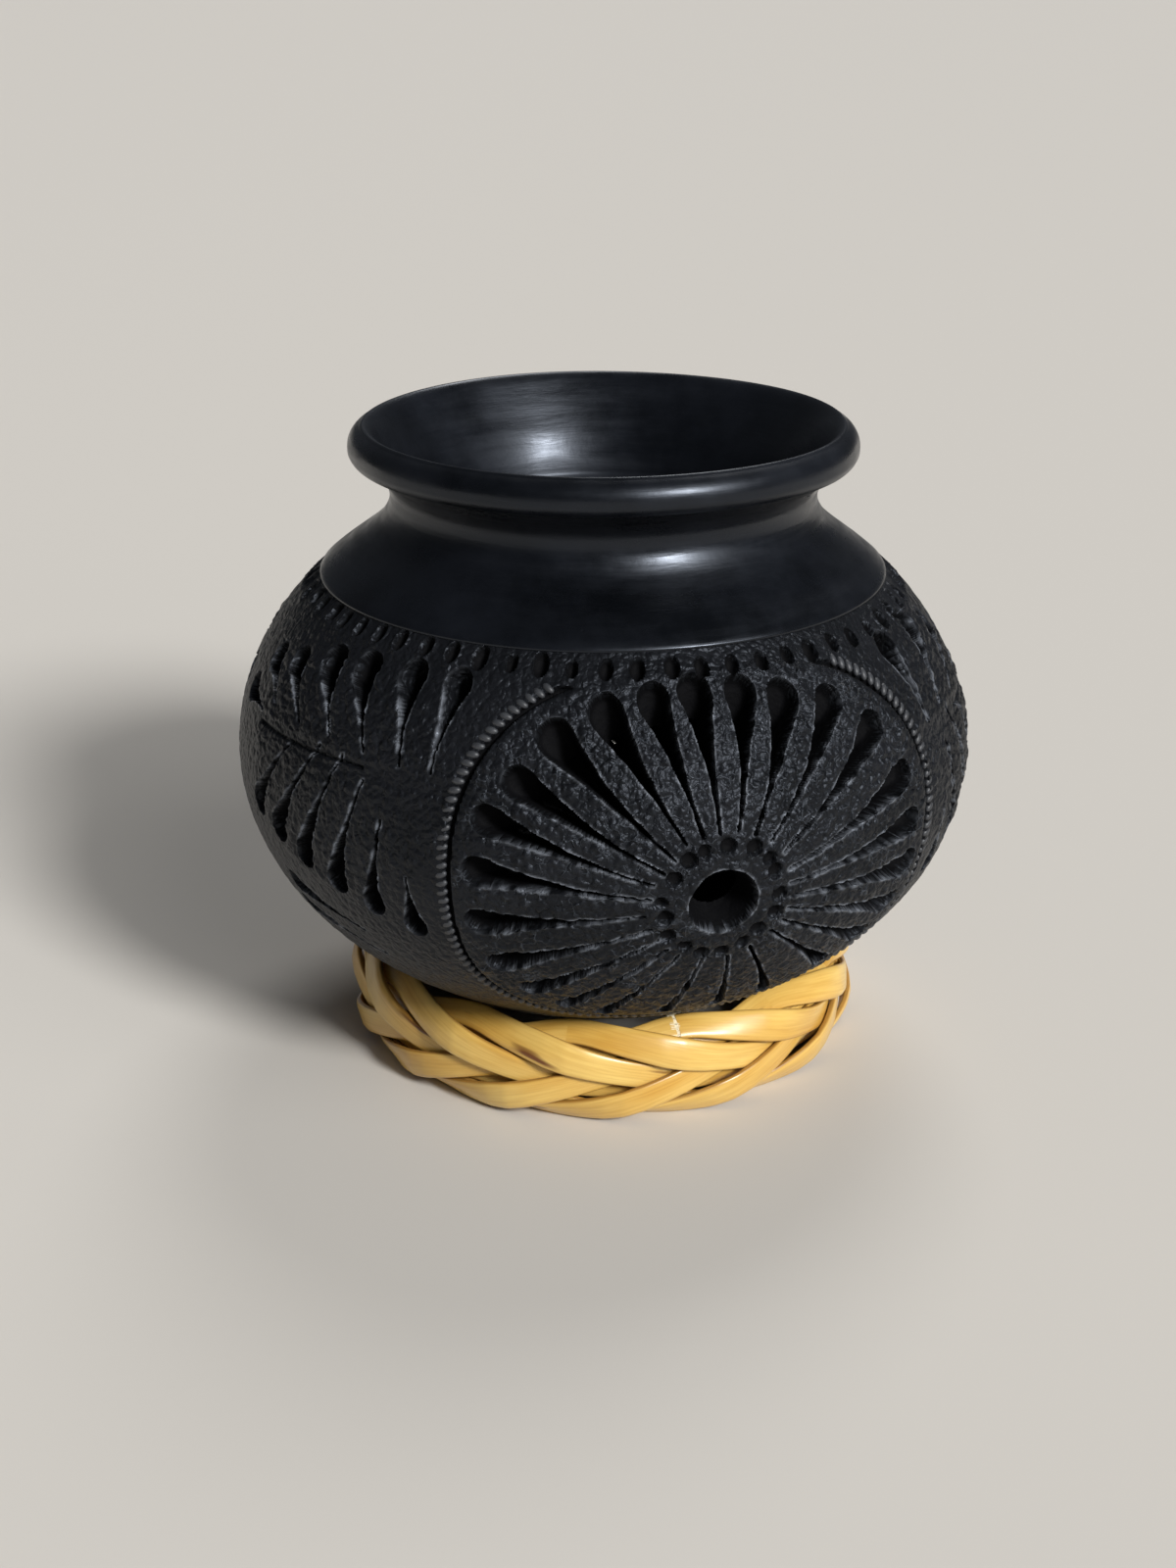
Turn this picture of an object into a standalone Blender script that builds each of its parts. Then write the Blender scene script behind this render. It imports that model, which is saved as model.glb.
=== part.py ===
"""Blackware vase on a plaited cane ring stand.

A round-bellied, thin-walled pot of black fired clay with a short neck and a rolled lip
sits loose in a ring stand.  The stand is a flat plait of seven cane strips, closed on
itself and curled into a C section.  Lengths are in metres, +Z is up, the table is the
plane z = 0 and the pot's axis is the Z axis.  The front of the pot faces -Y.
"""

from math import acos, cos, pi, radians, sin, sqrt

import bmesh
import bpy
import numpy as np
from mathutils import Vector

MM = 0.001

# The cane ring
STRIPS = 7
TURNS_PER_ROUND = 2             # times that each strip runs from edge to edge and back
CANE_THICKNESS = 0.8 * MM
CLEARANCE = 0.3 * MM            # between pieces that touch in the real object
FACET_ALLOWANCE = 0.2 * MM      # flat facets cut across the curled edges by this much
LAYER = CANE_THICKNESS + CLEARANCE + FACET_ALLOWANCE
PLAIT_REACH = 8.4 * MM          # from the plait's middle line to a strip's own middle
RING_RADIUS = 41.2 * MM         # of the plait's middle surface at mid height
SECTION_STRAIGHT = 2.3 * MM     # half of the upright part of the C section
SECTION_ROUND = 5.6 * MM        # radius of its two curled edges
FOOT_TRIM = 0.3 * MM            # cut off the lowest strips, so that the ring stands flat
RING_CENTRE_HEIGHT = SECTION_STRAIGHT + SECTION_ROUND + CANE_THICKNESS / 2 - FOOT_TRIM
FIRST_TURN_AZIMUTH = radians(-8.4)
STEPS_PER_CROSSING = 2
CROSSINGS_ROUND = 2 * STRIPS * TURNS_PER_ROUND
LEVEL = PLAIT_REACH / (STRIPS / 2)          # height between neighbouring crossings
STRIP_HALF_WIDTH = LEVEL - CLEARANCE
ENDED_STRIP = 2                 # its two cut ends meet at a turn on top, at the front
END_GAP = 0.06                  # of a crossing's length, between those ends

# The pot's body is an ellipse turned about Z; its height over the table follows from the
# ring that it sits in, and the heights here are measured from one part to the next.
BELLY_RADIUS = 60.0 * MM
BODY_BELOW = 44.0 * MM          # half-height of the body's ellipse under the belly
BODY_ABOVE = 45.0 * MM          # and over it
WALL = 5.5 * MM
FOOT_RADIUS = 15.0 * MM
NECK_RADIUS = 34.2 * MM
NECK_FILLET = 5.0 * MM
NECK_RISE = 3.7 * MM            # from the body's top to the narrowest part of the neck
LIP_RISE = 7.3 * MM             # from there to the lip's underside
LIP_HEIGHT = 5.7 * MM
LIP_RADIUS = 40.7 * MM
LIP_ROUND = 3.4 * MM
LIP_UNDER_ROUND = 1.3 * MM
MOUTH_RADIUS = 35.3 * MM        # at the lip's inner edge
THROAT_RADIUS = NECK_RADIUS - WALL
SHOULDER_INSET = 14.5 * MM      # the burnished shoulder ends this far in from the belly
SHOULDER_RADIUS = BELLY_RADIUS - SHOULDER_INSET
SHOULDER_STEP = 0.45 * MM
POT_SEGMENTS = 40

# The carving is laid out on the wall's own surface: across is the distance round the belly
# from the flower's heart, and up the distance along the wall from the belly line.
FLOWER_AZIMUTHS = (radians(16.8), radians(196.8))
HEART_UP = -4.9 * MM
HEART_RADIUS = 5.4 * MM
PETAL_SLOTS = 25
FIRST_SLOT_ANGLE = radians(94.0)
SLOT_START = 11.8 * MM          # from the heart
FLOWER_HALF_WIDTH = 38.5 * MM   # from the heart to the slots' outer ends
FLOWER_MARGIN = 4.9 * MM        # from those ends up to the shoulder's step
FLOWER_BELOW = 30.5 * MM
FLOWER_SQUARENESS = 2.4         # 2 would make the flower's outline an ellipse
PETAL_HALF_WIDTH = 2.8 * MM     # of a slot at its widest

# The carver set the slots closer at a flower's sides than at its top and bottom: the share
# of the slots set so far, clockwise from the top one, and the turn that they take, in
# degrees.
SPREAD_SHARE = (0.0, 0.2, 0.4, 0.48, 0.56, 0.88, 1.0)
SPREAD_TURN = (0.0, 73.0, 133.0, 173.0, 217.0, 319.0, 360.0)

RAMP = 0.25                     # share of a slot's length by which its wide end slopes in
POINT_SLOPE = 0.1               # and its point by this share of that
NARROWING = 0.45                # share of its width that a slot loses through the wall

# A slot's outline: places along it, from its point to its wide end, and the half-width
# there as a share of the widest.
PETAL_OUTLINE = ((0.0, 0.0), (0.5, 0.45), (0.8, 1.0), (0.93, 0.8), (1.0, 0.0))
LEAF_OUTLINE = ((0.0, 0.0), (0.55, 0.7), (0.88, 1.0), (1.0, 0.0))

# A leaf lies on each side of a flower.  Its slots stand along a midrib, over it and under
# it, and lean more and more towards the leaf's tip.  Each pair gives the first slot's value
# and the last one's.
MIDRIB_UP = 11.5 * MM
LEAF_START = FLOWER_HALF_WIDTH + 6.3 * MM
LEAF_HALF_WIDTH = 2.2 * MM      # of a slot at its widest
LEAF_CROWDING = 1.2             # over 1, the slots stand closer towards the flower
LEAN_GROWTH = 0.8               # under 1, the slots lean over sooner
UPPER_GAP = (2.2 * MM, 4.2 * MM)            # from the midrib to the slots' points
UPPER_LEAN = (radians(-4.0), radians(54.0))
UPPER_LENGTH = (15.8 * MM, 11.8 * MM)
UPPER_SWELL = 6.0 * MM          # the slots in between are longer by up to a quarter of this
LOWER_LEAN = (radians(0.0), radians(38.0))
LOWER_LENGTH = (10.6 * MM, 18.4 * MM)
LOWER_SWELL = 28.0 * MM
LOWER_END_UP = (-13.8 * MM, -3.3 * MM)
LOWER_SHIFT = 3.0 * MM          # of the lower slots towards the tip
TIP_LENGTH = 11.3 * MM          # of the last slot, which points out along the leaf's tip
TIP_RISE = 1.2 * MM
TIP_SHIFT = 4.4 * MM
TIPS_GAP = 6.0 * MM             # between the leaves of one flower and those of the next

# The leaves share the room between one flower and the next: as many spaces between slots
# as fit it, most of them in the longer leaf on the left.
LEAF_SPACING = 7.6 * MM         # aimed at, from slot to slot
LEFT_LEAF_SHARE = 0.625         # of the spaces
LEAF_ROOM = (2 * pi * BELLY_RADIUS / len(FLOWER_AZIMUTHS) - TIPS_GAP
             - 2 * (LEAF_START + TIP_SHIFT + TIP_LENGTH))
LEAF_SPACES = max(round(LEAF_ROOM / LEAF_SPACING), 2)
LEAF_PITCH = LEAF_ROOM / LEAF_SPACES
LEFT_SPACES = round(LEFT_LEAF_SHARE * LEAF_SPACES)
LEAVES = (                      # side of the flower, and slots over the midrib
    (-1.0, LEFT_SPACES + 1),
    (1.0, LEAF_SPACES - LEFT_SPACES + 1))

# How far each strip stands off the plait's middle surface, in layers, along half a cycle.
# It is given at distances from the strip's turn at the plait's edge, in crossings: out to
# the front over three strips, then down between its neighbours and behind three more.
STAND_OFF_AT = (0.0, 1.0, 2.0, 3.5, 5.0, 6.0, 7.0)
STAND_OFF = (0.0, 0.5, 1.5, 0.0, -1.5, -0.5, 0.0)


def empty_scene():
    """Take every object out of the file."""
    for item in list(bpy.data.objects):
        bpy.data.objects.remove(item, do_unlink=True)


def collection(name):
    """A new collection in the scene."""
    made = bpy.data.collections.new(name)
    bpy.context.scene.collection.children.link(made)
    return made


def material(name, colour, roughness, coat=0.0):
    """A plain Principled material."""
    made = bpy.data.materials.new(name)
    made.use_nodes = True
    shader = made.node_tree.nodes["Principled BSDF"]
    shader.inputs["Base Color"].default_value = (*colour, 1.0)
    shader.inputs["Roughness"].default_value = roughness
    shader.inputs["Metallic"].default_value = 0.0
    shader.inputs["Coat Weight"].default_value = coat
    return made


def add_object(name, mesh, home, look=None):
    """Put a mesh in the scene as a named object with one material."""
    made = bpy.data.objects.new(name, mesh)
    home.objects.link(made)
    if look is not None:
        mesh.materials.append(look)
    return made


def hide_cutter(item):
    """Keep a cutter out of the model: wire on screen, nothing in a render."""
    item.display_type = 'WIRE'
    item.hide_render = True


def cut(item, cutter):
    """Take the cutter's shape away from the object."""
    boolean = item.modifiers.new("cut by " + cutter.name, 'BOOLEAN')
    boolean.operation = 'DIFFERENCE'
    boolean.solver = 'EXACT'
    boolean.object = cutter


def smooth(mesh, sharp_angle):
    """Smooth shading, but for edges sharper than the angle."""
    mesh.shade_smooth()
    mesh.set_sharp_from_angle(angle=radians(sharp_angle))


def settle(item):
    """Make the shape after all cuts the object's own mesh, with its cut edges sharp."""
    graph = bpy.context.evaluated_depsgraph_get()
    mesh = bpy.data.meshes.new_from_object(item.evaluated_get(graph))
    item.modifiers.clear()
    item.data = mesh
    smooth(mesh, 32.0)


# The plait's rule

def section_point(along, stand_off):
    """Radius and height in the C section.

    along is the distance from the plait's middle line over its surface, up positive, and
    stand_off the distance outward from that surface.
    """
    side = 1.0 if along > 0.0 else -1.0
    bend = max(abs(along) - SECTION_STRAIGHT, 0.0) / SECTION_ROUND
    upright = min(abs(along), SECTION_STRAIGHT)
    reach = SECTION_ROUND + stand_off
    radius = RING_RADIUS - SECTION_ROUND + reach * cos(bend)
    height = RING_CENTRE_HEIGHT + side * (upright + reach * sin(bend))
    return radius, height


def strip_centre(crossings):
    """Height of a strip's middle in the plait, this many crossings after its top turn."""
    cycle = crossings % (2 * STRIPS)
    from_top = min(cycle, 2 * STRIPS - cycle)
    from_turn = min(from_top, STRIPS - from_top)
    softened = LEVEL * max(0.5 - from_turn, 0.0) ** 2
    side = 1.0 if from_top < STRIPS / 2 else -1.0
    return PLAIT_REACH - LEVEL * from_top - side * softened


def strip_stand_off(crossings):
    """How far the strip stands off the plait's middle surface."""
    return LAYER * float(np.interp(crossings % STRIPS, STAND_OFF_AT, STAND_OFF))


def seat_height():
    """Height of the belly line over the table, with the pot let down onto the ring.

    The pot's ellipse, grown by the gap, comes to rest on the strips' highest corner.  Its
    flat facets lie inside the ellipse, which makes up the rest of the clearance.
    """
    gap = CLEARANCE - FACET_ALLOWANCE
    heights = []
    for step in range(STRIPS * STEPS_PER_CROSSING):
        crossings = step / STEPS_PER_CROSSING
        for edge in (-STRIP_HALF_WIDTH, 0.0, STRIP_HALF_WIDTH):
            for face in (-CANE_THICKNESS / 2, CANE_THICKNESS / 2):
                stand_off = strip_stand_off(crossings) + face
                radius, height = section_point(strip_centre(crossings) + edge, stand_off)
                share = radius / (BELLY_RADIUS + gap)
                heights.append(height + (BODY_BELOW + gap) * sqrt(1.0 - share ** 2))
    return max(heights)


BELLY_HEIGHT = seat_height()


# The pot's wall

def body_point(latitude, inset=0.0):
    """Radius and height on the body's ellipse, moved in by the inset."""
    half_height = BODY_ABOVE if latitude > 0.0 else BODY_BELOW
    radius = (BELLY_RADIUS - inset) * cos(latitude)
    height = BELLY_HEIGHT + (half_height - inset) * sin(latitude)
    return radius, height


def latitudes(start, end, count):
    """Evenly spaced latitudes on the ellipse, both ends with them."""
    return [start + (end - start) * i / (count - 1) for i in range(count)]


def arc(centre, radius, start, end, count):
    """Points on a circle in the profile plane, angles in degrees."""
    turns = [radians(start + (end - start) * i / (count - 1)) for i in range(count)]
    return [(centre[0] + radius * cos(a), centre[1] + radius * sin(a)) for a in turns]


def pot_profile():
    """The wall's half section, from the inside of the floor round to the underside."""
    under = acos(FOOT_RADIUS / BELLY_RADIUS)
    throat = acos(THROAT_RADIUS / (BELLY_RADIUS - WALL))
    neck_foot = acos((NECK_RADIUS + 0.25 * NECK_FILLET) / BELLY_RADIUS)
    neck_height = body_point(neck_foot)[1] + NECK_RISE
    lip_underside = neck_height + LIP_RISE
    lip_top = lip_underside + LIP_HEIGHT

    inside = [body_point(a, WALL) for a in latitudes(-under, 0.0, 5)]
    inside += [body_point(a, WALL) for a in latitudes(0.0, throat, 4)[1:]]
    inside = [(0.0, inside[0][1])] + inside
    inside.append((THROAT_RADIUS, neck_height + 0.4 * NECK_FILLET))
    inside.append(((THROAT_RADIUS + MOUTH_RADIUS) / 2, lip_underside + 0.15 * LIP_HEIGHT))

    crest = (LIP_RADIUS - LIP_ROUND, lip_top - LIP_ROUND)
    lip = [(MOUTH_RADIUS, lip_top - 0.2 * LIP_ROUND)]
    lip += arc(crest, LIP_ROUND, 95.0, 0.0, 5)
    lip.append((LIP_RADIUS, lip_underside + LIP_UNDER_ROUND))
    lip.append((LIP_RADIUS - LIP_UNDER_ROUND, lip_underside))

    neck_centre = (NECK_RADIUS + NECK_FILLET, neck_height)
    neck = arc(neck_centre, NECK_FILLET, 135.0, 205.0, 4)

    burnished = [body_point(a, -SHOULDER_STEP) for a in latitudes(neck_foot, SHOULDER, 3)]
    carved = [body_point(a) for a in latitudes(SHOULDER, 0.0, 4)]
    carved += [body_point(a) for a in latitudes(0.0, -under, 7)[1:]]
    foot = [(0.0, carved[-1][1])]
    return inside + lip + neck + burnished + carved + foot


def turned(name, profile, home, look):
    """A round body: the profile spun about Z."""
    mesh = bpy.data.meshes.new(name)
    edges = [(i, i + 1) for i in range(len(profile) - 1)]
    mesh.from_pydata([(radius, 0.0, height) for radius, height in profile], edges, [])
    made = add_object(name, mesh, home, look)
    spin = made.modifiers.new("turn", 'SCREW')
    spin.axis = 'Z'
    spin.steps = spin.render_steps = POT_SEGMENTS
    spin.use_merge_vertices = True
    spin.merge_threshold = 0.00001
    spin.use_smooth_shade = True
    return made


# The carving's layout

def wall_scale():
    """Distances along the wall from the belly line, and the latitudes that they reach."""
    steps = latitudes(-pi / 2, pi / 2, 361)
    points = np.array([body_point(a) for a in steps])
    lengths = np.hypot(*np.diff(points, axis=0).T)
    along = np.concatenate([[0.0], np.cumsum(lengths)])
    return along - np.interp(0.0, steps, along), steps


WALL_ALONG, WALL_LATITUDES = wall_scale()
SHOULDER = acos(SHOULDER_RADIUS / BELLY_RADIUS)
SHOULDER_UP = float(np.interp(SHOULDER, WALL_LATITUDES, WALL_ALONG))


def wall_point(azimuth, across, up, depth):
    """A point under the wall's outer surface, at this depth square to it."""
    latitude = float(np.interp(up, WALL_ALONG, WALL_LATITUDES))
    half_height = BODY_ABOVE if latitude > 0.0 else BODY_BELOW
    radius, height = body_point(latitude)
    square = Vector((half_height * cos(latitude), BELLY_RADIUS * sin(latitude))).normalized()
    turn = azimuth + across / BELLY_RADIUS
    radius -= depth * square.x
    return Vector((radius * sin(turn), -radius * cos(turn), height - depth * square.y))


def petal_slots():
    """Each slot round a flower: its point, its wide end and its half-width."""
    heart = Vector((0.0, HEART_UP))
    above = SHOULDER_UP - FLOWER_MARGIN - HEART_UP
    power = FLOWER_SQUARENESS
    for number in range(PETAL_SLOTS):
        turn = np.interp(number / PETAL_SLOTS, SPREAD_SHARE, SPREAD_TURN)
        angle = FIRST_SLOT_ANGLE - radians(turn)
        direction = Vector((cos(angle), sin(angle)))
        tall = above if direction.y > 0.0 else FLOWER_BELOW
        shares = abs(direction.x / FLOWER_HALF_WIDTH), abs(direction.y / tall)
        reach = (shares[0] ** power + shares[1] ** power) ** (-1.0 / power)
        half_width = PETAL_HALF_WIDTH * (0.8 + 0.25 * direction.y)
        yield heart + SLOT_START * direction, heart + reach * direction, half_width


def between(pair, share):
    """The value this far from the first of a pair to the second."""
    return pair[0] + (pair[1] - pair[0]) * share


def leaf_slots(side, count):
    """Each slot of a leaf: over its midrib, under it, and one out along its tip."""
    length = (count - 1) * LEAF_PITCH
    for number in range(count):
        share = number / (count - 1)
        bulge = share * (1.0 - share)
        lean = between(UPPER_LEAN, share ** LEAN_GROWTH)
        root = LEAF_START + length * share ** LEAF_CROWDING
        point = Vector((side * root, MIDRIB_UP + between(UPPER_GAP, share)))
        reach = between(UPPER_LENGTH, share) + UPPER_SWELL * bulge
        yield point, point + reach * Vector((side * sin(lean), cos(lean))), LEAF_HALF_WIDTH

        lean = between(LOWER_LEAN, share ** LEAN_GROWTH)
        reach = between(LOWER_LENGTH, share) + LOWER_SWELL * bulge
        root = LEAF_START + LOWER_SHIFT + length * share
        end = Vector((side * root, between(LOWER_END_UP, share)))
        yield end + reach * Vector((-side * sin(lean), cos(lean))), end, LEAF_HALF_WIDTH
    tip = Vector((side * (LEAF_START + length + TIP_SHIFT), MIDRIB_UP + TIP_RISE))
    yield tip, tip + Vector((side * TIP_LENGTH, TIP_RISE)), LEAF_HALF_WIDTH


def slot_section(azimuth, start, end, half_width, outline, depth):
    """Rows of points across a slot, from its point to its wide end, at one depth."""
    through = depth / WALL
    direction = (end - start).normalized()
    square = Vector((-direction.y, direction.x))
    ramp = RAMP * through * (end - start)
    start = start + POINT_SLOPE * ramp
    end = end - ramp
    narrowing = 1.0 - NARROWING * through
    rows = []
    for share, width in outline:
        middle = start.lerp(end, share)
        offsets = (0.0,) if width == 0.0 else (-1.0, 1.0)
        row = []
        for offset in offsets:
            place = middle + offset * width * half_width * narrowing * square
            row.append(wall_point(azimuth, place.x, place.y, depth))
        rows.append(row)
    return rows


def add_slot(solid, azimuth, slot, outline):
    """Add one slot's cutter: a loft from over the wall's outside to past its inside."""
    layers = []
    for depth in (-0.35 * WALL, 1.35 * WALL):
        section = slot_section(azimuth, *slot, outline, depth)
        layers.append([[solid.verts.new(point) for point in row] for row in section])
    for rows in layers:
        for first, second in zip(rows, rows[1:]):
            solid.faces.new([*first, *reversed(second)])
    for edge in (0, -1):
        rims = [[row[edge] for row in rows] for rows in layers]
        for outer, inner in zip(zip(rims[0], rims[0][1:]), zip(rims[1], rims[1][1:])):
            solid.faces.new([outer[0], outer[1], inner[1], inner[0]])


def finish_cutter(name, solid, home):
    """Make the cutter an object, its faces pointing out."""
    bmesh.ops.recalc_face_normals(solid, faces=solid.faces)
    mesh = bpy.data.meshes.new(name)
    solid.to_mesh(mesh)
    solid.free()
    made = add_object(name, mesh, home)
    hide_cutter(made)
    return made


def heart_cutter(name, azimuth, home):
    """A cylinder through the wall, square to it, at the heart of a flower."""
    middle = wall_point(azimuth, 0.0, HEART_UP, WALL / 2)
    outward = wall_point(azimuth, 0.0, HEART_UP, 0.0) - middle
    solid = bmesh.new()
    bmesh.ops.create_cone(
        solid, cap_ends=True, segments=16, radius1=HEART_RADIUS, radius2=HEART_RADIUS,
        depth=3 * WALL)
    made = finish_cutter(name, solid, home)
    made.location = middle
    made.rotation_mode = 'QUATERNION'
    made.rotation_quaternion = outward.to_track_quat('Z', 'Y')
    return made


def carving_cutter(name, azimuth, home):
    """The cutter of all the slots of one flower and of the leaves beside it."""
    solid = bmesh.new()
    for slot in petal_slots():
        add_slot(solid, azimuth, slot, PETAL_OUTLINE)
    for side, count in LEAVES:
        for slot in leaf_slots(side, count):
            add_slot(solid, azimuth, slot, LEAF_OUTLINE)
    return finish_cutter(name, solid, home)


def build_pot(home, cutters, look):
    """The pot: a turned wall, pierced by two flowers and the leaves beside them."""
    pot = turned("vase_body", pot_profile(), home, look)
    for number, azimuth in enumerate(FLOWER_AZIMUTHS, start=1):
        cut(pot, heart_cutter(f"heart_cutter_{number}", azimuth, cutters))
        cut(pot, carving_cutter(f"carving_cutter_{number}", azimuth, cutters))
    settle(pot)
    return pot


# The cane ring

def strip_sections(places, azimuth_of_turn):
    """Rows of three points across the strip, at these places along it."""
    crossing_angle = 2 * pi / CROSSINGS_ROUND
    rows = []
    for crossings in places:
        azimuth = azimuth_of_turn + crossings * crossing_angle
        centre = strip_centre(crossings)
        stand_off = strip_stand_off(crossings)
        row = []
        for across in (-STRIP_HALF_WIDTH, 0.0, STRIP_HALF_WIDTH):
            radius, height = section_point(centre + across, stand_off)
            row.append((radius * sin(azimuth), -radius * cos(azimuth), height))
        rows.append(row)
    return rows


def build_strip(number, table, home, look):
    """One cane strip: a ribbon round the ring, given its thickness and cut flat below."""
    azimuth = FIRST_TURN_AZIMUTH + (number - 1) * 2 * pi / (STRIPS * TURNS_PER_ROUND)
    steps = CROSSINGS_ROUND * STEPS_PER_CROSSING
    places = [i / STEPS_PER_CROSSING for i in range(steps)]
    closed = number != ENDED_STRIP
    if not closed:
        places[0] = END_GAP / 2
        places.append(CROSSINGS_ROUND - END_GAP / 2)
    rows = strip_sections(places, azimuth)
    points = [point for row in rows for point in row]
    faces = []
    for i in range(len(rows) if closed else len(rows) - 1):
        here, there = 3 * i, 3 * ((i + 1) % len(rows))
        for k in (0, 1):
            faces.append((here + k, there + k, there + k + 1, here + k + 1))
    mesh = bpy.data.meshes.new(f"cane_strip_{number}")
    mesh.from_pydata(points, [], faces)
    smooth(mesh, 40.0)
    strip = add_object(f"cane_strip_{number}", mesh, home, look)
    shell = strip.modifiers.new("cane thickness", 'SOLIDIFY')
    shell.thickness = CANE_THICKNESS
    shell.offset = 0.0
    shell.use_even_offset = True
    cut(strip, table)
    return strip


def table_cutter(home):
    """A slab under the table plane, which trims the strips to a flat foot."""
    mesh = bpy.data.meshes.new("table_cutter")
    slab = bmesh.new()
    bmesh.ops.create_cube(slab, size=1.0)
    side = 4 * RING_RADIUS
    depth = SECTION_ROUND
    bmesh.ops.scale(slab, vec=(side, side, depth), verts=slab.verts)
    bmesh.ops.translate(slab, vec=(0.0, 0.0, -depth / 2), verts=slab.verts)
    slab.to_mesh(mesh)
    slab.free()
    made = add_object("table_cutter", mesh, home)
    hide_cutter(made)
    return made


def build():
    """Model the whole object."""
    empty_scene()
    vase = collection("blackware_vase")
    cutters = collection("cutters")
    clay = material("black_fired_clay", (0.016, 0.017, 0.021), 0.38)
    cane = material("golden_cane", (0.62, 0.40, 0.13), 0.36, coat=0.2)
    build_pot(vase, cutters, clay)
    table = table_cutter(cutters)
    for number in range(1, STRIPS + 1):
        build_strip(number, table, vase, cane)


build()
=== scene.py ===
# %% [markdown]
# # A blackware vase on a plaited cane ring
#
# The real thing is two objects. The first is a round pot of black fired clay: its lip, neck
# and shoulder were rubbed with a stone until they shone, and its belly was carved and
# pierced before firing. The second is a small ring of split cane, plaited and closed on
# itself, in which the round-bottomed pot stands. The CAD frame has the true sizes. This
# script makes the surfaces that the eye meets, piece by piece, in the same place.

from math import cos, pi, radians, sin

import bpy
import numpy as np
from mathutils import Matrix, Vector, noise


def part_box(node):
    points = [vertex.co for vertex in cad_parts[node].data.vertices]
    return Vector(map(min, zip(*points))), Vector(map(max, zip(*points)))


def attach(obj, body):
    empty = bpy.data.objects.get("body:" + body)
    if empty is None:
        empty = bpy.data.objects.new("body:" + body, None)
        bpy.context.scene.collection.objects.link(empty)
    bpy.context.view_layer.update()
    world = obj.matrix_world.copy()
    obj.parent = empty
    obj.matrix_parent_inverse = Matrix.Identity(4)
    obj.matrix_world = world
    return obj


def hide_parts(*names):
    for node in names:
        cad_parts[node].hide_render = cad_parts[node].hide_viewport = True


MM = 0.001
noise.seed_set(11)  # or else noise_vector takes its seed from the clock, and the lumps vary
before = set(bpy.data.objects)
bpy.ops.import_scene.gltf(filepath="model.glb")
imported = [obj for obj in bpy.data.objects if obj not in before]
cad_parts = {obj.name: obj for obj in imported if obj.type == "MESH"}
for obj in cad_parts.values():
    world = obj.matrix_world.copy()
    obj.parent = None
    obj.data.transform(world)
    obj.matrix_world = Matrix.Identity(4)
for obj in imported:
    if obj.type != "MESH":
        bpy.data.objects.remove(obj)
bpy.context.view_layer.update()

# %% [markdown]
# ## The camera
#
# The photograph looks down on the vase from close by, with a phone's lens. The place and
# the lens below were fitted to the outlines of the lip, the belly and the ring. The lens is
# given for a 36 mm sensor along the picture's longer side.

# %% Camera
CAMERA_PLACE = (-0.0024, -0.3418, 0.1802)
CAMERA_LOOKS_DOWN = radians(22.1)
CAMERA_LENS = 49.95

camera = bpy.data.objects.new("camera", bpy.data.cameras.new("camera"))
bpy.context.scene.collection.objects.link(camera)
camera.location = CAMERA_PLACE
camera.rotation_euler = (pi / 2 - CAMERA_LOOKS_DOWN, 0.0, 0.0)
camera.data.lens = CAMERA_LENS
camera.data.sensor_width = 36.0
camera.data.clip_start = 0.01
bpy.context.scene.camera = camera
print("camera", CAMERA_LENS, "mm, looking down", round(CAMERA_LOOKS_DOWN * 180 / pi, 1))

# %% [markdown]
# ## Colours and nodes
#
# Colours are written as the hex values that a colour picker shows, and one function turns
# them into the linear values that Blender's shaders use. One more function adds a node: it
# takes the node's settings, and for each input socket either a value or another node's
# output to link from. Every material and every Geometry Nodes tree below is built with it.
# The short functions after it each add the one node that their words say.

# %% Helpers for colours and nodes
def linear(code):
    """A linear colour from an sRGB hex code such as "#1a1b1e"."""
    shares = [int(code[i:i + 2], 16) / 255 for i in (1, 3, 5)]
    return (*[s / 12.92 if s <= 0.04045 else ((s + 0.055) / 1.055) ** 2.4 for s in shares], 1.0)


def set_inputs(tree, node, inputs):
    """Give a node's input sockets their values, or link them from other nodes' outputs."""
    for name, value in inputs.items():
        if isinstance(value, bpy.types.NodeSocket):
            tree.links.new(value, node.inputs[name])
        else:
            node.inputs[name].default_value = value


def add_node(tree, kind, settings=None, inputs=None):
    """Add a node: its settings, and a value or a linked output for each input."""
    node = tree.nodes.new(kind)
    for name, value in (settings or {}).items():
        setattr(node, name, value)
    set_inputs(tree, node, inputs or {})
    return node


def new_material(name):
    """An empty material: its node tree and its Principled shader."""
    material = bpy.data.materials.new(name)
    material.use_nodes = True
    return material, material.node_tree, material.node_tree.nodes["Principled BSDF"]


# %% Helpers for one node each
# A Mix node has its sockets for numbers, vectors and colours under the same names, so the
# ones for colours are found by their places in its lists.
COLOUR_A, COLOUR_B, MIXED_COLOUR = 6, 7, 2


def noise_at(tree, where, scale, detail=2.0, roughness=0.5):
    """Noise around 0.5, with this many waves to the unit of the places that it is given."""
    return add_node(tree, "ShaderNodeTexNoise", inputs={
        "Vector": where, "Scale": scale, "Detail": detail,
        "Roughness": roughness}).outputs["Fac"]


def stretched(tree, where, scale):
    """Places multiplied by a scale for each direction."""
    return add_node(tree, "ShaderNodeMapping", inputs={
        "Vector": where, "Scale": scale}).outputs["Vector"]


def own_value(tree, name):
    """A named value that the mesh carries at its points."""
    return add_node(tree, "ShaderNodeAttribute", {"attribute_name": name}).outputs["Fac"]


def mapped(tree, value, start, end, first=0.0, last=1.0):
    """A value's range from start to end, turned into the range from first to last."""
    return add_node(tree, "ShaderNodeMapRange", inputs={
        "Value": value, "From Min": start, "From Max": end,
        "To Min": first, "To Max": last}).outputs["Result"]


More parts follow.
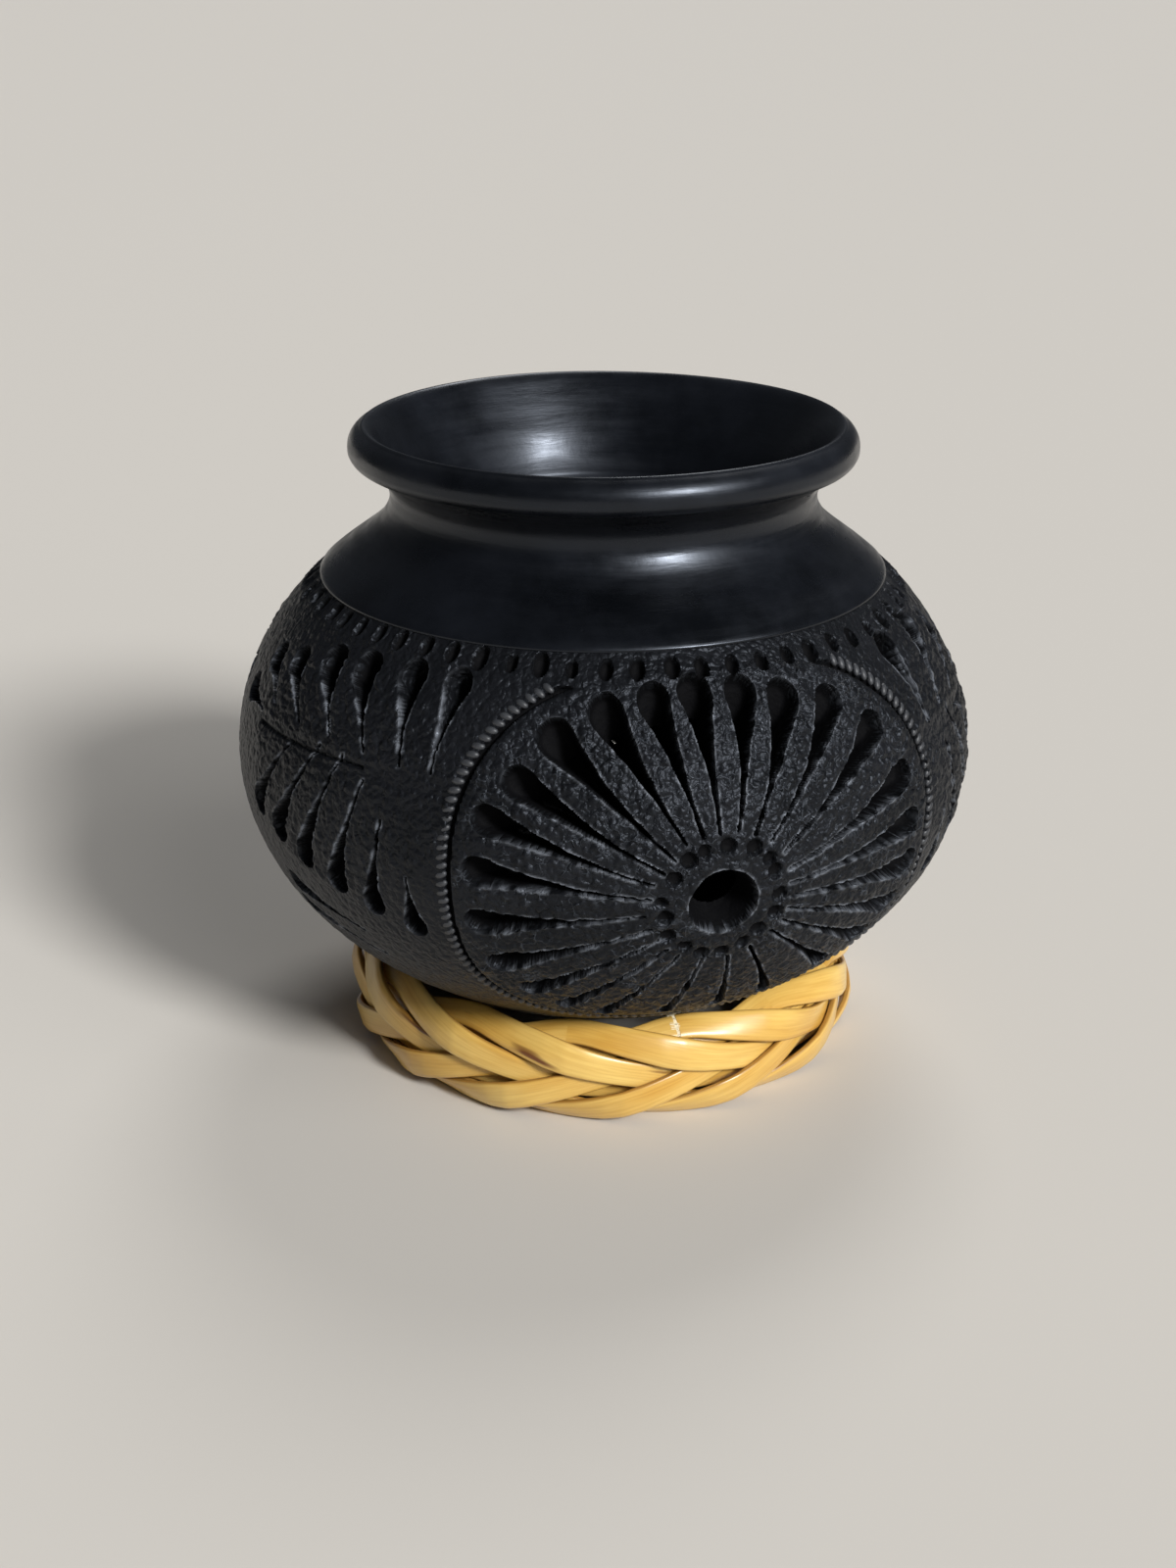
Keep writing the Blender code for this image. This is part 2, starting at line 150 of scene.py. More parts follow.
def combined(tree, operation, first, second):
    """Two values made into one by a Math node."""
    return add_node(tree, "ShaderNodeMath", {"operation": operation}, {
        0: first, 1: second}).outputs["Value"]


def toned(tree, value, start, dark, end, light):
    """A colour between two others; the value is start at the first and end at the second."""
    ramp = add_node(tree, "ShaderNodeValToRGB", inputs={"Fac": value})
    for stop, place, code in zip(ramp.color_ramp.elements, (start, end), (dark, light)):
        stop.position, stop.color = place, linear(code)
    return ramp.outputs["Color"]


def mixed(tree, factor, first, second, blend='MIX'):
    """Two colours mixed by a factor."""
    return add_node(tree, "ShaderNodeMix", {"data_type": 'RGBA', "blend_type": blend}, {
        "Factor": factor, COLOUR_A: first, COLOUR_B: second}).outputs[MIXED_COLOUR]


def bumped(tree, height, strength, distance, under=None, invert=False):
    """Bumps as tall as a distance in mm, laid over the bumps under them."""
    return add_node(tree, "ShaderNodeBump", {"invert": invert}, {
        "Height": height, "Strength": strength, "Distance": distance * MM,
        **({"Normal": under} if under else {})}).outputs["Normal"]


# %% [markdown]
# ## Floor and light
#
# A plain pale floor stands in for the table. The light comes from a window in front on the
# right, which the lip and the shoulder mirror as one compact patch. Its wide glow softens
# the shadows, a weaker lamp behind shows the back, and the room stays dim, because black
# clay shows its carving by light that grazes it. All the lamps are of the sort that stands
# endlessly far off, so the floor is lit evenly, and near and far sides alike.

# %% Floor, world and lamps
FLOOR_COLOUR = "#cfcac2"
FLOOR_SIZE = 12.0  # metres

bpy.context.scene.view_settings.view_transform = 'Standard'

floor_material, tree, shader = new_material("pale_floor")
set_inputs(tree, shader, {"Base Color": linear(FLOOR_COLOUR), "Roughness": 0.9})
bpy.ops.mesh.primitive_plane_add(size=FLOOR_SIZE)
floor = bpy.context.object
floor.name = "floor"
floor.data.materials.append(floor_material)

world = bpy.data.worlds.new("soft_room")
world.use_nodes = True
set_inputs(world.node_tree, world.node_tree.nodes["Background"],
           {"Color": linear("#dde5f2"), "Strength": 0.09})
bpy.context.scene.world = world


def add_far_lamp(name, turn, rise, spread, strength):
    """A lamp so far off that its light is even: its place by azimuth and height, in degrees.

    Azimuth 0 is the viewer's side and 90 the right. The spread is the angle that the lamp
    fills as seen from the vase, so a wide one is soft.
    """
    lamp = bpy.data.lights.new(name, 'SUN')
    lamp.angle = radians(spread)
    lamp.energy = strength
    stand = bpy.data.objects.new(name, lamp)
    turn, rise = radians(turn), radians(rise)
    towards = Vector((cos(rise) * sin(turn), -cos(rise) * cos(turn), sin(rise)))
    stand.rotation_euler = towards.to_track_quat('Z', 'Y').to_euler()
    stand.location = towards
    bpy.context.scene.collection.objects.link(stand)


add_far_lamp("window_lamp", 38.0, 32.0, 13.0, 3.3)
add_far_lamp("window_glow", 44.0, 32.0, 46.0, 0.9)
add_far_lamp("back_lamp", 165.0, 52.0, 24.0, 0.9)
print("floor", FLOOR_SIZE, "m,", len(bpy.data.lights), "lamps")

# %% [markdown]
# ## Burnished blackware
#
# Blackware is earthenware fired in smoke without air, which turns the clay black right
# through. Where the potter rubbed the half-dry surface with a smooth stone, the clay is
# dense and shines like dull metal, with faint streaks along the way that the stone went.
# The eye gets a near-black with a cool sheen, broken into horizontal streaks 1 to 3 mm
# tall and clouds of 1 to 2 cm. Noise that is squeezed upright makes the streaks. Object
# coordinates are in metres, so a noise scale of 60 is a wave of about 17 mm.

# %% Material: burnished blackware
CLAY_IOR = 1.52
SHEEN = "#dfe8f7"  # blackware mirrors a little blue

burnished, tree, shader = new_material("burnished_blackware")
place = add_node(tree, "ShaderNodeTexCoord").outputs["Object"]
streaks = noise_at(tree, stretched(tree, place, (1.0, 1.0, 9.0)), 55.0, 4.0, 0.6)
clouds = noise_at(tree, place, 60.0, 5.0, 0.6)
handled = combined(tree, 'ADD', streaks, clouds)
pits = add_node(tree, "ShaderNodeTexVoronoi", inputs={"Vector": place, "Scale": 120.0})
pitted = mapped(tree, pits.outputs["Distance"], 0.02, 0.05)
waves = bumped(tree, handled, 0.3, 0.25, under=bumped(tree, pitted, 0.6, 0.12))
grain = bumped(tree, noise_at(tree, place, 1400.0), 0.12, 0.05, under=waves)
set_inputs(tree, shader, {
    "Base Color": toned(tree, clouds, 0.35, "#050608", 0.7, "#121419"),
    "Roughness": mapped(tree, handled, 0.75, 1.25, 0.21, 0.43), "Normal": grain,
    "IOR": CLAY_IOR, "Specular IOR Level": 0.42, "Specular Tint": linear(SHEEN)})
print("burnished clay: roughness 0.21 to 0.43, a pit every 8 mm or so")

# %% [markdown]
# ## Carved blackware
#
# Where the knife and the punch went, the clay is open and dull. The ground is a crust of
# crumbs about 1 mm across, and on the petals a net of fine raised threads lies over them,
# broken here and there. The ridges are painted a paler grey with a soft sheen, partly for
# wear by hands and partly as a painted highlight of the light that crisp edges catch, and
# the cuts are painted shade. Each carved piece carries three values at its points, for these
# and for the net, worked out with the carving itself, so that the paler grey always lies on
# the edges. The bottoms of the cuts get painted shade of their own, a material that hardly shines.

# %% Material: carved blackware
NET_SIZE = 1.8  # mm, of the meshes of the raised net on the petals
CRUMB_SIZE = 1.1
WANDER = 2.0  # how far the nets' and crumbs' outlines are bent

carved, tree, shader = new_material("carved_blackware")
place = add_node(tree, "ShaderNodeTexCoord").outputs["Object"]
wear_and_edge_highlight, cut_shade = own_value(tree, "wear_and_edge_highlight"), own_value(tree, "cut_shade")
wander = add_node(tree, "ShaderNodeTexNoise", inputs={"Vector": place, "Scale": 480.0})
bent = add_node(tree, "ShaderNodeVectorMath", {"operation": 'MULTIPLY_ADD'}, {
    0: wander.outputs["Color"], 1: (WANDER * MM,) * 3, 2: place}).outputs["Vector"]
meshes = add_node(tree, "ShaderNodeTexVoronoi", {"feature": 'DISTANCE_TO_EDGE'}, {
    "Vector": bent, "Scale": 1.0 / (NET_SIZE * MM)})
crumbs = add_node(tree, "ShaderNodeTexVoronoi", inputs={
    "Vector": bent, "Scale": 1.0 / (CRUMB_SIZE * MM)})
thread = add_node(tree, "ShaderNodeMapRange", {"interpolation_type": 'SMOOTHSTEP'}, {
    "Value": meshes.outputs["Distance"], "From Min": 0.01, "From Max": 0.10,
    "To Min": 1.0, "To Max": 0.0})
broken = combined(tree, 'MULTIPLY', thread.outputs["Result"],
                  mapped(tree, noise_at(tree, place, 300.0), 0.50, 0.62))
net = combined(tree, 'MULTIPLY', broken, own_value(tree, "hammered"))

tone = toned(tree, noise_at(tree, place, 70.0, 4.0), 0.3, "#0b0c0e", 0.75, "#18191c")
# Edges painted a paler grey: partly wear, partly a painted highlight of the light that crisp edges
# catch.
wear_and_highlight_colour = mixed(tree, wear_and_edge_highlight, mixed(tree, net, tone, linear("#34373c")), linear("#6a6e75"))
touched = mapped(tree, combined(tree, 'MAXIMUM', wear_and_edge_highlight, net), 0.0, 1.0, 0.42, 0.24)
threads_up = bumped(tree, net, 0.9, 0.18)
crumbs_up = bumped(tree, crumbs.outputs["Distance"], 0.85, 0.36, under=threads_up, invert=True)
set_inputs(tree, shader, {
    # Near-black in the cuts: painted shade.
    "Base Color": mixed(tree, cut_shade, wear_and_highlight_colour, linear("#030303")),
    "Roughness": combined(tree, 'MAXIMUM', touched, cut_shade),
    "Normal": bumped(tree, noise_at(tree, place, 1500.0, 3.0, 0.7), 0.6, 0.12, under=crumbs_up),
    "IOR": CLAY_IOR, "Specular IOR Level": 0.21, "Specular Tint": linear(SHEEN)})
print("carved clay: net of", NET_SIZE, "mm, crumbs of", CRUMB_SIZE, "mm")

# %% Material: painted shade in the cuts
# Painted shade for the cuts and the inside of the pot: deep black, with hardly any shine.
painted_shade, tree, shader = new_material("painted_shade_in_cuts")
place = add_node(tree, "ShaderNodeTexCoord").outputs["Object"]
set_inputs(tree, shader, {
    "Base Color": linear("#08080a"), "Roughness": 0.75, "IOR": CLAY_IOR,
    "Specular IOR Level": 0.08,
    "Normal": bumped(tree, noise_at(tree, place, 900.0, 4.0), 0.8, 0.25)})
print("soot: dull all over")

# %% [markdown]
# ## The pot's wall as a map
#
# The carving is easiest to plan on a flat map of the wall. On that map "across" runs round
# the belly, in millimetres at its widest, and "up" runs along the wall from the belly line.
# The function below puts points of the map on the wall, or under it by a depth that is
# square to the wall. Everything on the pot is placed with it, so nothing can drift apart.

# %% The wall and its map
BELLY_RADIUS = 60.0  # mm, as all the sizes below
BODY_BELOW = 44.0  # half heights of the two half ellipses that make the belly
BODY_ABOVE = 45.0
WALL = 5.5
NECK_RADIUS = 34.2
SHOULDER_RADIUS = 45.5
FOOT_RADIUS = 15.0
FOOT_LATITUDE = -np.arccos(FOOT_RADIUS / BELLY_RADIUS)

pot_low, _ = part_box("vase_body")
belly_height = pot_low[2] / MM - BODY_BELOW * np.sin(FOOT_LATITUDE)


def body(latitude, depth=0.0):
    """Radius and height of the pot's wall at a latitude, at this depth square to it."""
    half_height = np.where(latitude > 0.0, BODY_ABOVE, BODY_BELOW)
    out = half_height * np.cos(latitude)
    over = BELLY_RADIUS * np.sin(latitude)
    length = np.hypot(out, over)
    radius = BELLY_RADIUS * np.cos(latitude) - depth * out / length
    height = belly_height + half_height * np.sin(latitude) - depth * over / length
    return radius, height


MAP_LATITUDES = np.linspace(-pi / 2, pi / 2, 1441)
MAP_UP = np.concatenate([[0.0], np.cumsum(
    np.hypot(*np.diff(np.array(body(MAP_LATITUDES)), axis=1)))])
MAP_UP -= np.interp(0.0, MAP_LATITUDES, MAP_UP)


def turned_to(turn, radius, height):
    """Points in metres at an angle from the viewer's side, from a radius and height in mm."""
    return np.stack([radius * np.sin(turn), -radius * np.cos(turn), height], axis=-1) * MM


def on_wall(across, up, depth=0.0):
    """Points in metres for places on the map; across is counted from the viewer's side."""
    radius, height = body(np.interp(up, MAP_UP, MAP_LATITUDES), depth)
    return turned_to(across / BELLY_RADIUS, radius, height)


SHOULDER_LATITUDE = np.arccos(SHOULDER_RADIUS / BELLY_RADIUS)
SHOULDER_UP = np.interp(SHOULDER_LATITUDE, MAP_LATITUDES, MAP_UP)
FOOT_UP = np.interp(FOOT_LATITUDE, MAP_LATITUDES, MAP_UP)
print(f"belly {belly_height:.2f} mm over the table; the map runs from {FOOT_UP:.1f} mm up to "
      f"the shoulder at {SHOULDER_UP:.1f} mm")

# %% [markdown]
# ## How deep the carver cut
#
# The carved belly could be cut with booleans, but a hundred cutters leave a ragged mesh and
# hard, machine-made edges. Here it is a relief instead: a fine grid over the map, with a
# depth at each point. A cut adds depth by its own rule, and where the depth reaches the
# inside of the wall, the grid is left open and the pot is pierced. The grid's points next
# to an edge are first moved onto it, so that the edges come out clean.
#
# A slot starts as a thin knife cut near the flower's heart, widens like a drop, and ends
# in a round, spoon-shaped ramp that leads down through the wall.

# %% The relief's grid
CELL = 0.28  # mm, about the width and height of a cell
SECTORS = 6  # of the wall, one to a slab
SECTOR_COLUMNS = 2 * round(pi * BELLY_RADIUS / SECTORS / CELL)
COLUMNS = SECTORS * SECTOR_COLUMNS
BAND_LOW = -40.0  # the carved band's edges on the map
BAND_HIGH = SHOULDER_UP + 0.6
BAND_ROWS = 2 * round((BAND_HIGH - BAND_LOW) / CELL / 2)
AROUND = 2 * pi * BELLY_RADIUS

STEP_ACROSS = AROUND / COLUMNS
STEP_UP = (BAND_HIGH - BAND_LOW) / BAND_ROWS

across_map, up_map = np.meshgrid(
    np.arange(COLUMNS) * STEP_ACROSS, BAND_LOW + np.arange(BAND_ROWS + 1) * STEP_UP)


def near(centre, reach):
    """The part of the grid within reach of a place, and its points' distances from there."""
    rows = np.abs(up_map[:, 0] - centre[1]) < reach
    away = (across_map[0] - centre[0] + AROUND / 2) % AROUND - AROUND / 2
    window = np.ix_(rows, np.abs(away) < reach)
    offset = across_map[window] - centre[0]
    return window, (offset + AROUND / 2) % AROUND - AROUND / 2, up_map[window] - centre[1]


print("grid", across_map.shape, "cells of", round(AROUND / COLUMNS, 3), "mm")

# %% [markdown]
# ## The layout of flower and leaves
#
# The flower's twenty-five slots stand round a pierced heart, closer at its sides than at its
# top and bottom. On each side of the flower lies a leaf: its slots stand along a midrib,
# over it and under it, and lean more towards the leaf's tip. The back of the pot isn't seen
# in the photograph, so it repeats the front, with the small differences that a hand leaves.

# %% Slots of the flower and of the leaves
FLOWERS_ACROSS = [radians(a) * BELLY_RADIUS for a in (16.8, 196.8)]
HEART_UP = -4.9
HEART_RADIUS = 5.4
PETAL_SLOTS = 25
FIRST_SLOT_ANGLE = radians(94.0)
SPREAD_SHARE = (0.0, 0.2, 0.4, 0.48, 0.56, 0.88, 1.0)  # of the slots, clockwise
SPREAD_TURN = (0.0, 73.0, 133.0, 173.0, 217.0, 319.0, 360.0)
SLOT_START = 11.2
# Half-width, reach above and below the heart, and a power: 2 is an ellipse, more is squarer.
FLOWER_OUTLINE = (38.6, 34.2, 30.7, 2.4)
PETAL_HALF_WIDTH = 2.75
MIDRIB_UP = 11.5
LEAVES = ((-1.0, 6), (1.0, 4))  # side of the flower, and slots over the midrib
LEAF_START = 44.8
LEAF_PITCH = 7.63
LEAF_CROWDING = 1.2  # over 1, the first slots stand closer than the last
LEAN_GROWTH = 0.8  # under 1, the slots lean over sooner
UPPER_GAP = (1.8, 3.8)  # from the midrib to the slots' points
UPPER_LEAN = (radians(-4.0), radians(54.0))
UPPER_LENGTH = (16.4, 12.2)
UPPER_SWELL = 6.0  # those in between are longer by up to a quarter of this
UPPER_HALF_WIDTH = 2.7
LOWER_LEAN = (radians(0.0), radians(38.0))
LOWER_LENGTH = (11.0, 18.8)
LOWER_SWELL = 28.0
LOWER_END_UP = (-14.0, -3.5)
LOWER_SHIFT = 3.0
LOWER_HALF_WIDTH = 2.3
TIP_LENGTH = 11.5
TIP_RISE = 1.2
TIP_SHIFT = 4.4
NOTCHES = (((-60.5, -17.2), (-80.0, -13.6)), ((-58.5, -22.6), (-81.0, -19.0)))
NOTCH_HALF_WIDTH = 2.0  # deep cuts under the left leaf that don't go through
NOTCH_DEPTH = 3.6

PETAL_STRAY = 0.012  # of a petal slot's angle in radians, and of its reach
LEAN_STRAY = 0.02

hand = np.random.default_rng(11)  # every small unevenness is drawn from this, in turn


def between(pair, share):
    """The value this far from the first of a pair to the second."""
    return pair[0] + (pair[1] - pair[0]) * share


def outline_reach(x, y, half_width, above, below, power):
    """How far a flower's rounded outline is from its heart, in the direction x, y."""
    tall = np.where(y > 0.0, above, below)
    return (np.abs(x / half_width) ** power + np.abs(y / tall) ** power) ** (-1.0 / power)


def petal_slots():
    """Point, wide end, half-width and bevel of each slot of a flower; none has a bevel."""
    heart = np.array([0.0, HEART_UP])
    for number in range(PETAL_SLOTS):
        turn = np.interp(number / PETAL_SLOTS, SPREAD_SHARE, SPREAD_TURN)
        angle = FIRST_SLOT_ANGLE - radians(turn) + hand.normal(0.0, PETAL_STRAY)
        direction = np.array([cos(angle), sin(angle)])
        reach = outline_reach(*direction, *FLOWER_OUTLINE)
        reach *= 1.0 + hand.normal(0.0, PETAL_STRAY)
        half_width = PETAL_HALF_WIDTH * (0.82 + 0.22 * direction[1]) * hand.normal(1.0, 0.05)
        start = SLOT_START * hand.normal(1.0, 0.03)
        yield heart + start * direction, heart + reach * direction, half_width, 0.0


def leaf_slots(side, count):
    """The same for a leaf, where the bevel goes from 0, none, to 1, the broadest."""
    length = (count - 1) * LEAF_PITCH
    for number in range(count):
        share = number / (count - 1)
        bulge = share * (1.0 - share)
        lean = between(UPPER_LEAN, share ** LEAN_GROWTH) + hand.normal(0.0, LEAN_STRAY)
        point = np.array([side * (LEAF_START + length * share ** LEAF_CROWDING),
                          MIDRIB_UP + between(UPPER_GAP, share) + hand.normal(0.0, 0.3)])
        reach = between(UPPER_LENGTH, share) + UPPER_SWELL * bulge
        along = reach * np.array([side * sin(lean), cos(lean)])
        yield point, point + along, UPPER_HALF_WIDTH * hand.normal(1.0, 0.06), (1.0 - share) ** 2

        lean = between(LOWER_LEAN, share ** LEAN_GROWTH) + hand.normal(0.0, LEAN_STRAY)
        reach = between(LOWER_LENGTH, share) + LOWER_SWELL * bulge
        end = np.array([side * (LEAF_START + LOWER_SHIFT + length * share),
                        between(LOWER_END_UP, share)])
        point = end + reach * np.array([-side * sin(lean), cos(lean)])
        yield point, end, LOWER_HALF_WIDTH * hand.normal(1.0, 0.06), 0.0
    tip = np.array([side * (LEAF_START + length + TIP_SHIFT), MIDRIB_UP + TIP_RISE])
    yield tip, tip + np.array([side * TIP_LENGTH, TIP_RISE]), UPPER_HALF_WIDTH, 0.0


def shifted(flower, cuts):
    """Cuts that are given from a flower's middle, moved to their place on the map."""
    place = np.array([flower, 0.0])
    return [(place + point, place + end, *rest) for point, end, *rest in cuts]


slots = []
for flower in FLOWERS_ACROSS:
    slots += shifted(flower, petal_slots())
    for side, count in LEAVES:
        slots += shifted(flower, leaf_slots(side, count))
through_slots = len(slots)
for flower in FLOWERS_ACROSS:
    slots += shifted(flower, [(point, end, NOTCH_HALF_WIDTH, 0.0) for point, end in NOTCHES])
print(through_slots, "slots and", len(slots) - through_slots, "notches")

# %% [markdown]
# ## Edges first
#
# Each slot's outline is measured on the grid as a distance: below zero inside, above zero
# outside. A slot's half-width grows slowly at first and then faster, like a drop's, and the
# wide end is a circle. Grid points within reach of an edge then slide onto it.

# %% The outline of a slot
POINT_HALF_WIDTH = 0.32
WIDENING = 2.5  # power of the growth along the slot
FULL_WIDTH_AT = 0.95  # of the way from the point to the round end's centre
EDGE_WOBBLE = 0.20  # how far a knife in clay strays from its line
FAR_AWAY = 9.0  # a distance that counts as out of reach of every cut


def fade(value, start, end):
    """From 0 at start to 1 at end, smoothly."""
    share = np.clip((value - start) / (end - start), 0.0, 1.0)
    return share * share * (3.0 - 2.0 * share)


def clay_noise(size, over=(0.0, 0.0, 0.0)):
    """Smooth noise of about -0.5 to 0.5 at the grid's points, with waves of a size in mm."""
    places = on_wall(across_map, up_map).reshape(-1, 3) / (size * MM) + over
    return np.array([noise.noise(Vector(p)) for p in places]).reshape(across_map.shape)


wobble = EDGE_WOBBLE * (clay_noise(3.2) + 0.35 * clay_noise(1.3))
print(f"the knife strays by {np.abs(wobble).max():.2f} mm at most")


def slot_outline(along, aside, length, half_width):
    """Distance outside a slot's outline, for places along it and aside from its line."""
    straight = length - half_width
    share = np.clip(along / straight, 0.0, 1.0)
    growth = np.minimum((share / FULL_WIDTH_AT) ** WIDENING, 1.0)
    width = POINT_HALF_WIDTH + (half_width - POINT_HALF_WIDTH) * growth
    beyond = np.where(along < 0.0, along, np.maximum(along - straight, 0.0))
    return np.hypot(aside, beyond) - width


def along_slot(slot):
    """The grid's window round a slot, with places along the slot and aside from it."""
    point, end, half_width, _ = slot
    length = np.hypot(*(end - point))
    window, x, y = near((point + end) / 2, length / 2 + half_width + 2.0)
    direction = (end - point) / length
    along = x * direction[0] + y * direction[1] + length / 2
    aside = y * direction[0] - x * direction[1]
    return window, along, aside, length


def distance_to_edges():
    """For each point of the grid, its distance outside the nearest cut's outline."""
    nearest = np.full(across_map.shape, FAR_AWAY)
    for slot in slots:
        window, along, aside, length = along_slot(slot)
        outline = slot_outline(along, aside, length, slot[2]) + wobble[window]
        nearest[window] = np.minimum(nearest[window], outline)
    for flower in FLOWERS_ACROSS:
        window, x, y = near((flower, HEART_UP), HEART_RADIUS + 2.0)
        nearest[window] = np.minimum(nearest[window], np.hypot(x, y) - HEART_RADIUS)
    return nearest


# %% Slide the grid's points onto the edges
SLIDE_REACH = 0.55  # of a cell
SLIDE_LIMIT = 0.6

edge = distance_to_edges()
wide = np.concatenate([edge[:, -1:], edge, edge[:, :1]], axis=1)
slope_up, slope_across = [slope[:, 1:-1] for slope in np.gradient(wide, STEP_UP, STEP_ACROSS)]
steepness = slope_up ** 2 + slope_across ** 2 + 1e-6
near_edge = np.abs(edge) / np.sqrt(steepness) < SLIDE_REACH * STEP_ACROSS
near_edge[0] = near_edge[-1] = False
slide = np.where(near_edge, -edge / steepness, 0.0)
limit = SLIDE_LIMIT * STEP_ACROSS
across_map = across_map + np.clip(slide * slope_across, -limit, limit)
up_map = up_map + np.clip(slide * slope_up, -limit, limit)
edge = distance_to_edges()
print(int(near_edge.sum()), "points moved onto the cuts' edges")

# %% [markdown]
# ## Then the depths
#
# A cut's sides fall steeply from its outline, and its round end is a ramp. The lesser of
# the two depths counts, with the corner between them softened, as a knife leaves it. On the
# upper slots of a leaf the knife was tilted, so one side is a bevel that catches the light,
# broadest next to the flower, and the round ends are steep and look black.

# %% Depth of the slots and of the hearts
SIDE_SLOPE = 6.5  # mm down for each mm in
BEVEL_SLOPE = 2.1  # at its broadest
HEART_SLOPE = 5.5
RAMP_SHARE = 0.28  # of a slot's length
STEEP_RAMP_SHARE = 0.09  # on a leaf's upper slots, whose round ends look black
RAMP_START = 1.9  # depth of the ramp at the round end
RAMP_END = 1.2 * WALL  # and at its lower end, beyond the inside of the wall
RAMP_DISH = 0.25  # the ramp is shallower at its sides by this share
CORNER_POWER = 6.0  # the higher, the sharper the corner
ROUND_END_FROM = 2.2  # half-widths before the slot's end, where its round end starts
FACET_REACH = 0.8  # of the ramp's depth, down to which a bevel counts as one

depth, round_ends, facets = np.zeros((3, *across_map.shape))


def raise_to(grid, window, values):
    """Raise a part of a grid to the given values, where it is lower than they are."""
    grid[window] = np.maximum(grid[window], values)


def lesser(first, second):
    """The smaller of two depths, with the corner between them rounded."""
    first, second = np.maximum(first, 1e-3), np.maximum(second, 1e-3)
    return (first ** -CORNER_POWER + second ** -CORNER_POWER) ** (-1.0 / CORNER_POWER)


for number, slot in enumerate(slots):
    window, along, aside, length = along_slot(slot)
    half_width, bevel = slot[2], slot[3]
    inside = -slot_outline(along, aside, length, half_width) - wobble[window]
    from_left = inside + np.abs(aside) - aside
    from_right = inside + np.abs(aside) + aside
    left_slope = between((SIDE_SLOPE, BEVEL_SLOPE), bevel)
    sides = np.minimum(left_slope * from_left, SIDE_SLOPE * from_right)
    ramp_share = STEEP_RAMP_SHARE if bevel > 0.0 else RAMP_SHARE
    down_ramp = np.maximum(length - along, 0.0) / (ramp_share * length)
    ramp = RAMP_START + (RAMP_END - RAMP_START) * down_ramp
    ramp *= 1.0 - RAMP_DISH * np.clip(aside / half_width, -1.0, 1.0) ** 2
    cut = np.where(inside > 0.0, lesser(sides, ramp), 0.0)
    if number >= through_slots:
        cut = lesser(cut, NOTCH_DEPTH * np.ones(cut.shape))
    raise_to(depth, window, cut)
    at_end = fade(along, length - ROUND_END_FROM * half_width, length - half_width)
    raise_to(round_ends, window, at_end * (inside > -1.5))
    faced = left_slope * from_left < np.minimum(SIDE_SLOPE * from_right, FACET_REACH * ramp)
    raise_to(facets, window, fade(bevel, 0.3, 0.8) * (faced & (inside > 0.0)))
for flower in FLOWERS_ACROSS:
    window, x, y = near((flower, HEART_UP), HEART_RADIUS + 1.0)
    raise_to(depth, window, HEART_SLOPE * (HEART_RADIUS - np.hypot(x, y)))
pierced = depth >= WALL
print(f"pierced: {pierced.mean() * 100:.1f} % of the band")

# %% [markdown]
# ## Punched dots and grooves
#
# Round each heart, and under the shoulder, a blunt stick was pressed into the soft clay.
# Each dot is a shallow bowl with a little clay pushed up round it. A groove runs round the
# flower, and a finer one along each leaf's midrib.

# %% Dots
HEART_DOTS = 17
HEART_DOTS_RADIUS = 9.2
HEART_DOT = (1.25, 1.25, 0.8)  # half-width, half-height and depth
SHOULDER_DOTS = 64
SHOULDER_DOT = (1.35, 1.8, 1.5)
SHOULDER_DOTS_UNDER = (1.9, 3.6)  # under the shoulder's edge, left and right of the front
BOWL_POWER = 0.45  # the lower, the flatter the bowl's bottom
RIM_HEIGHT = 0.20
RIM_AT = 1.2  # of the dot's half-width, where the rim is highest
RIM_SPREAD = 0.2


def punch(centre, half_width, half_height, deep, tilt=0.0):
    """Press a dot into the clay at a place of the map."""
    window, x, y = near(centre, 2.0 * max(half_width, half_height))
    across = (x * cos(tilt) + y * sin(tilt)) / half_width
    upward = (y * cos(tilt) - x * sin(tilt)) / half_height
    away = np.hypot(across, upward)
    bowl = deep * np.clip(1.0 - away ** 2, 0.0, 1.0) ** BOWL_POWER
    rim = RIM_HEIGHT * np.exp(-((away - RIM_AT) / RIM_SPREAD) ** 2)
    pressed = np.maximum(depth[window], bowl) - rim
    depth[window] = np.where(pierced[window], depth[window], pressed)


for flower in FLOWERS_ACROSS:
    for number in range(HEART_DOTS):
        angle = (number + hand.normal(0.0, 0.08)) * 2 * pi / HEART_DOTS
        away = HEART_DOTS_RADIUS * hand.normal(1.0, 0.03)
        size = hand.normal(1.0, 0.08)
        punch((flower + away * cos(angle), HEART_UP + away * sin(angle)),
              size * HEART_DOT[0], size * HEART_DOT[1], HEART_DOT[2])
for number in range(SHOULDER_DOTS):
    across = (number + hand.normal(0.0, 0.05)) * AROUND / SHOULDER_DOTS
    lower = 0.5 + 0.5 * cos(2 * (across / BELLY_RADIUS - radians(45.0)))
    size = hand.normal(1.0, 0.07)
    punch((across, SHOULDER_UP - between(SHOULDER_DOTS_UNDER, lower) + hand.normal(0.0, 0.15)),
          size * SHOULDER_DOT[0], size * SHOULDER_DOT[1], SHOULDER_DOT[2], hand.normal(-0.15, 0.1))
print(len(FLOWERS_ACROSS) * HEART_DOTS + SHOULDER_DOTS, "dots")

# %% The groove round a flower
BORDER_OUTLINE = (41.0, 36.2, 32.8, 2.8)  # the same four numbers as for the flower
BORDER_HALF_WIDTH = BORDER_OUTLINE[0]
BORDER_TOP = 28.0  # over this the border gives way to the shoulder's dots
GROOVE_HALF_WIDTH = 0.6
GROOVE_DEPTH = 1.1
GROOVE_POWER = 0.7  # the lower, the flatter the groove's bottom


def border_radius(angle):
    """Distance of the flower's border from its heart, at an angle."""
    return outline_reach(np.cos(angle), np.sin(angle), *BORDER_OUTLINE)


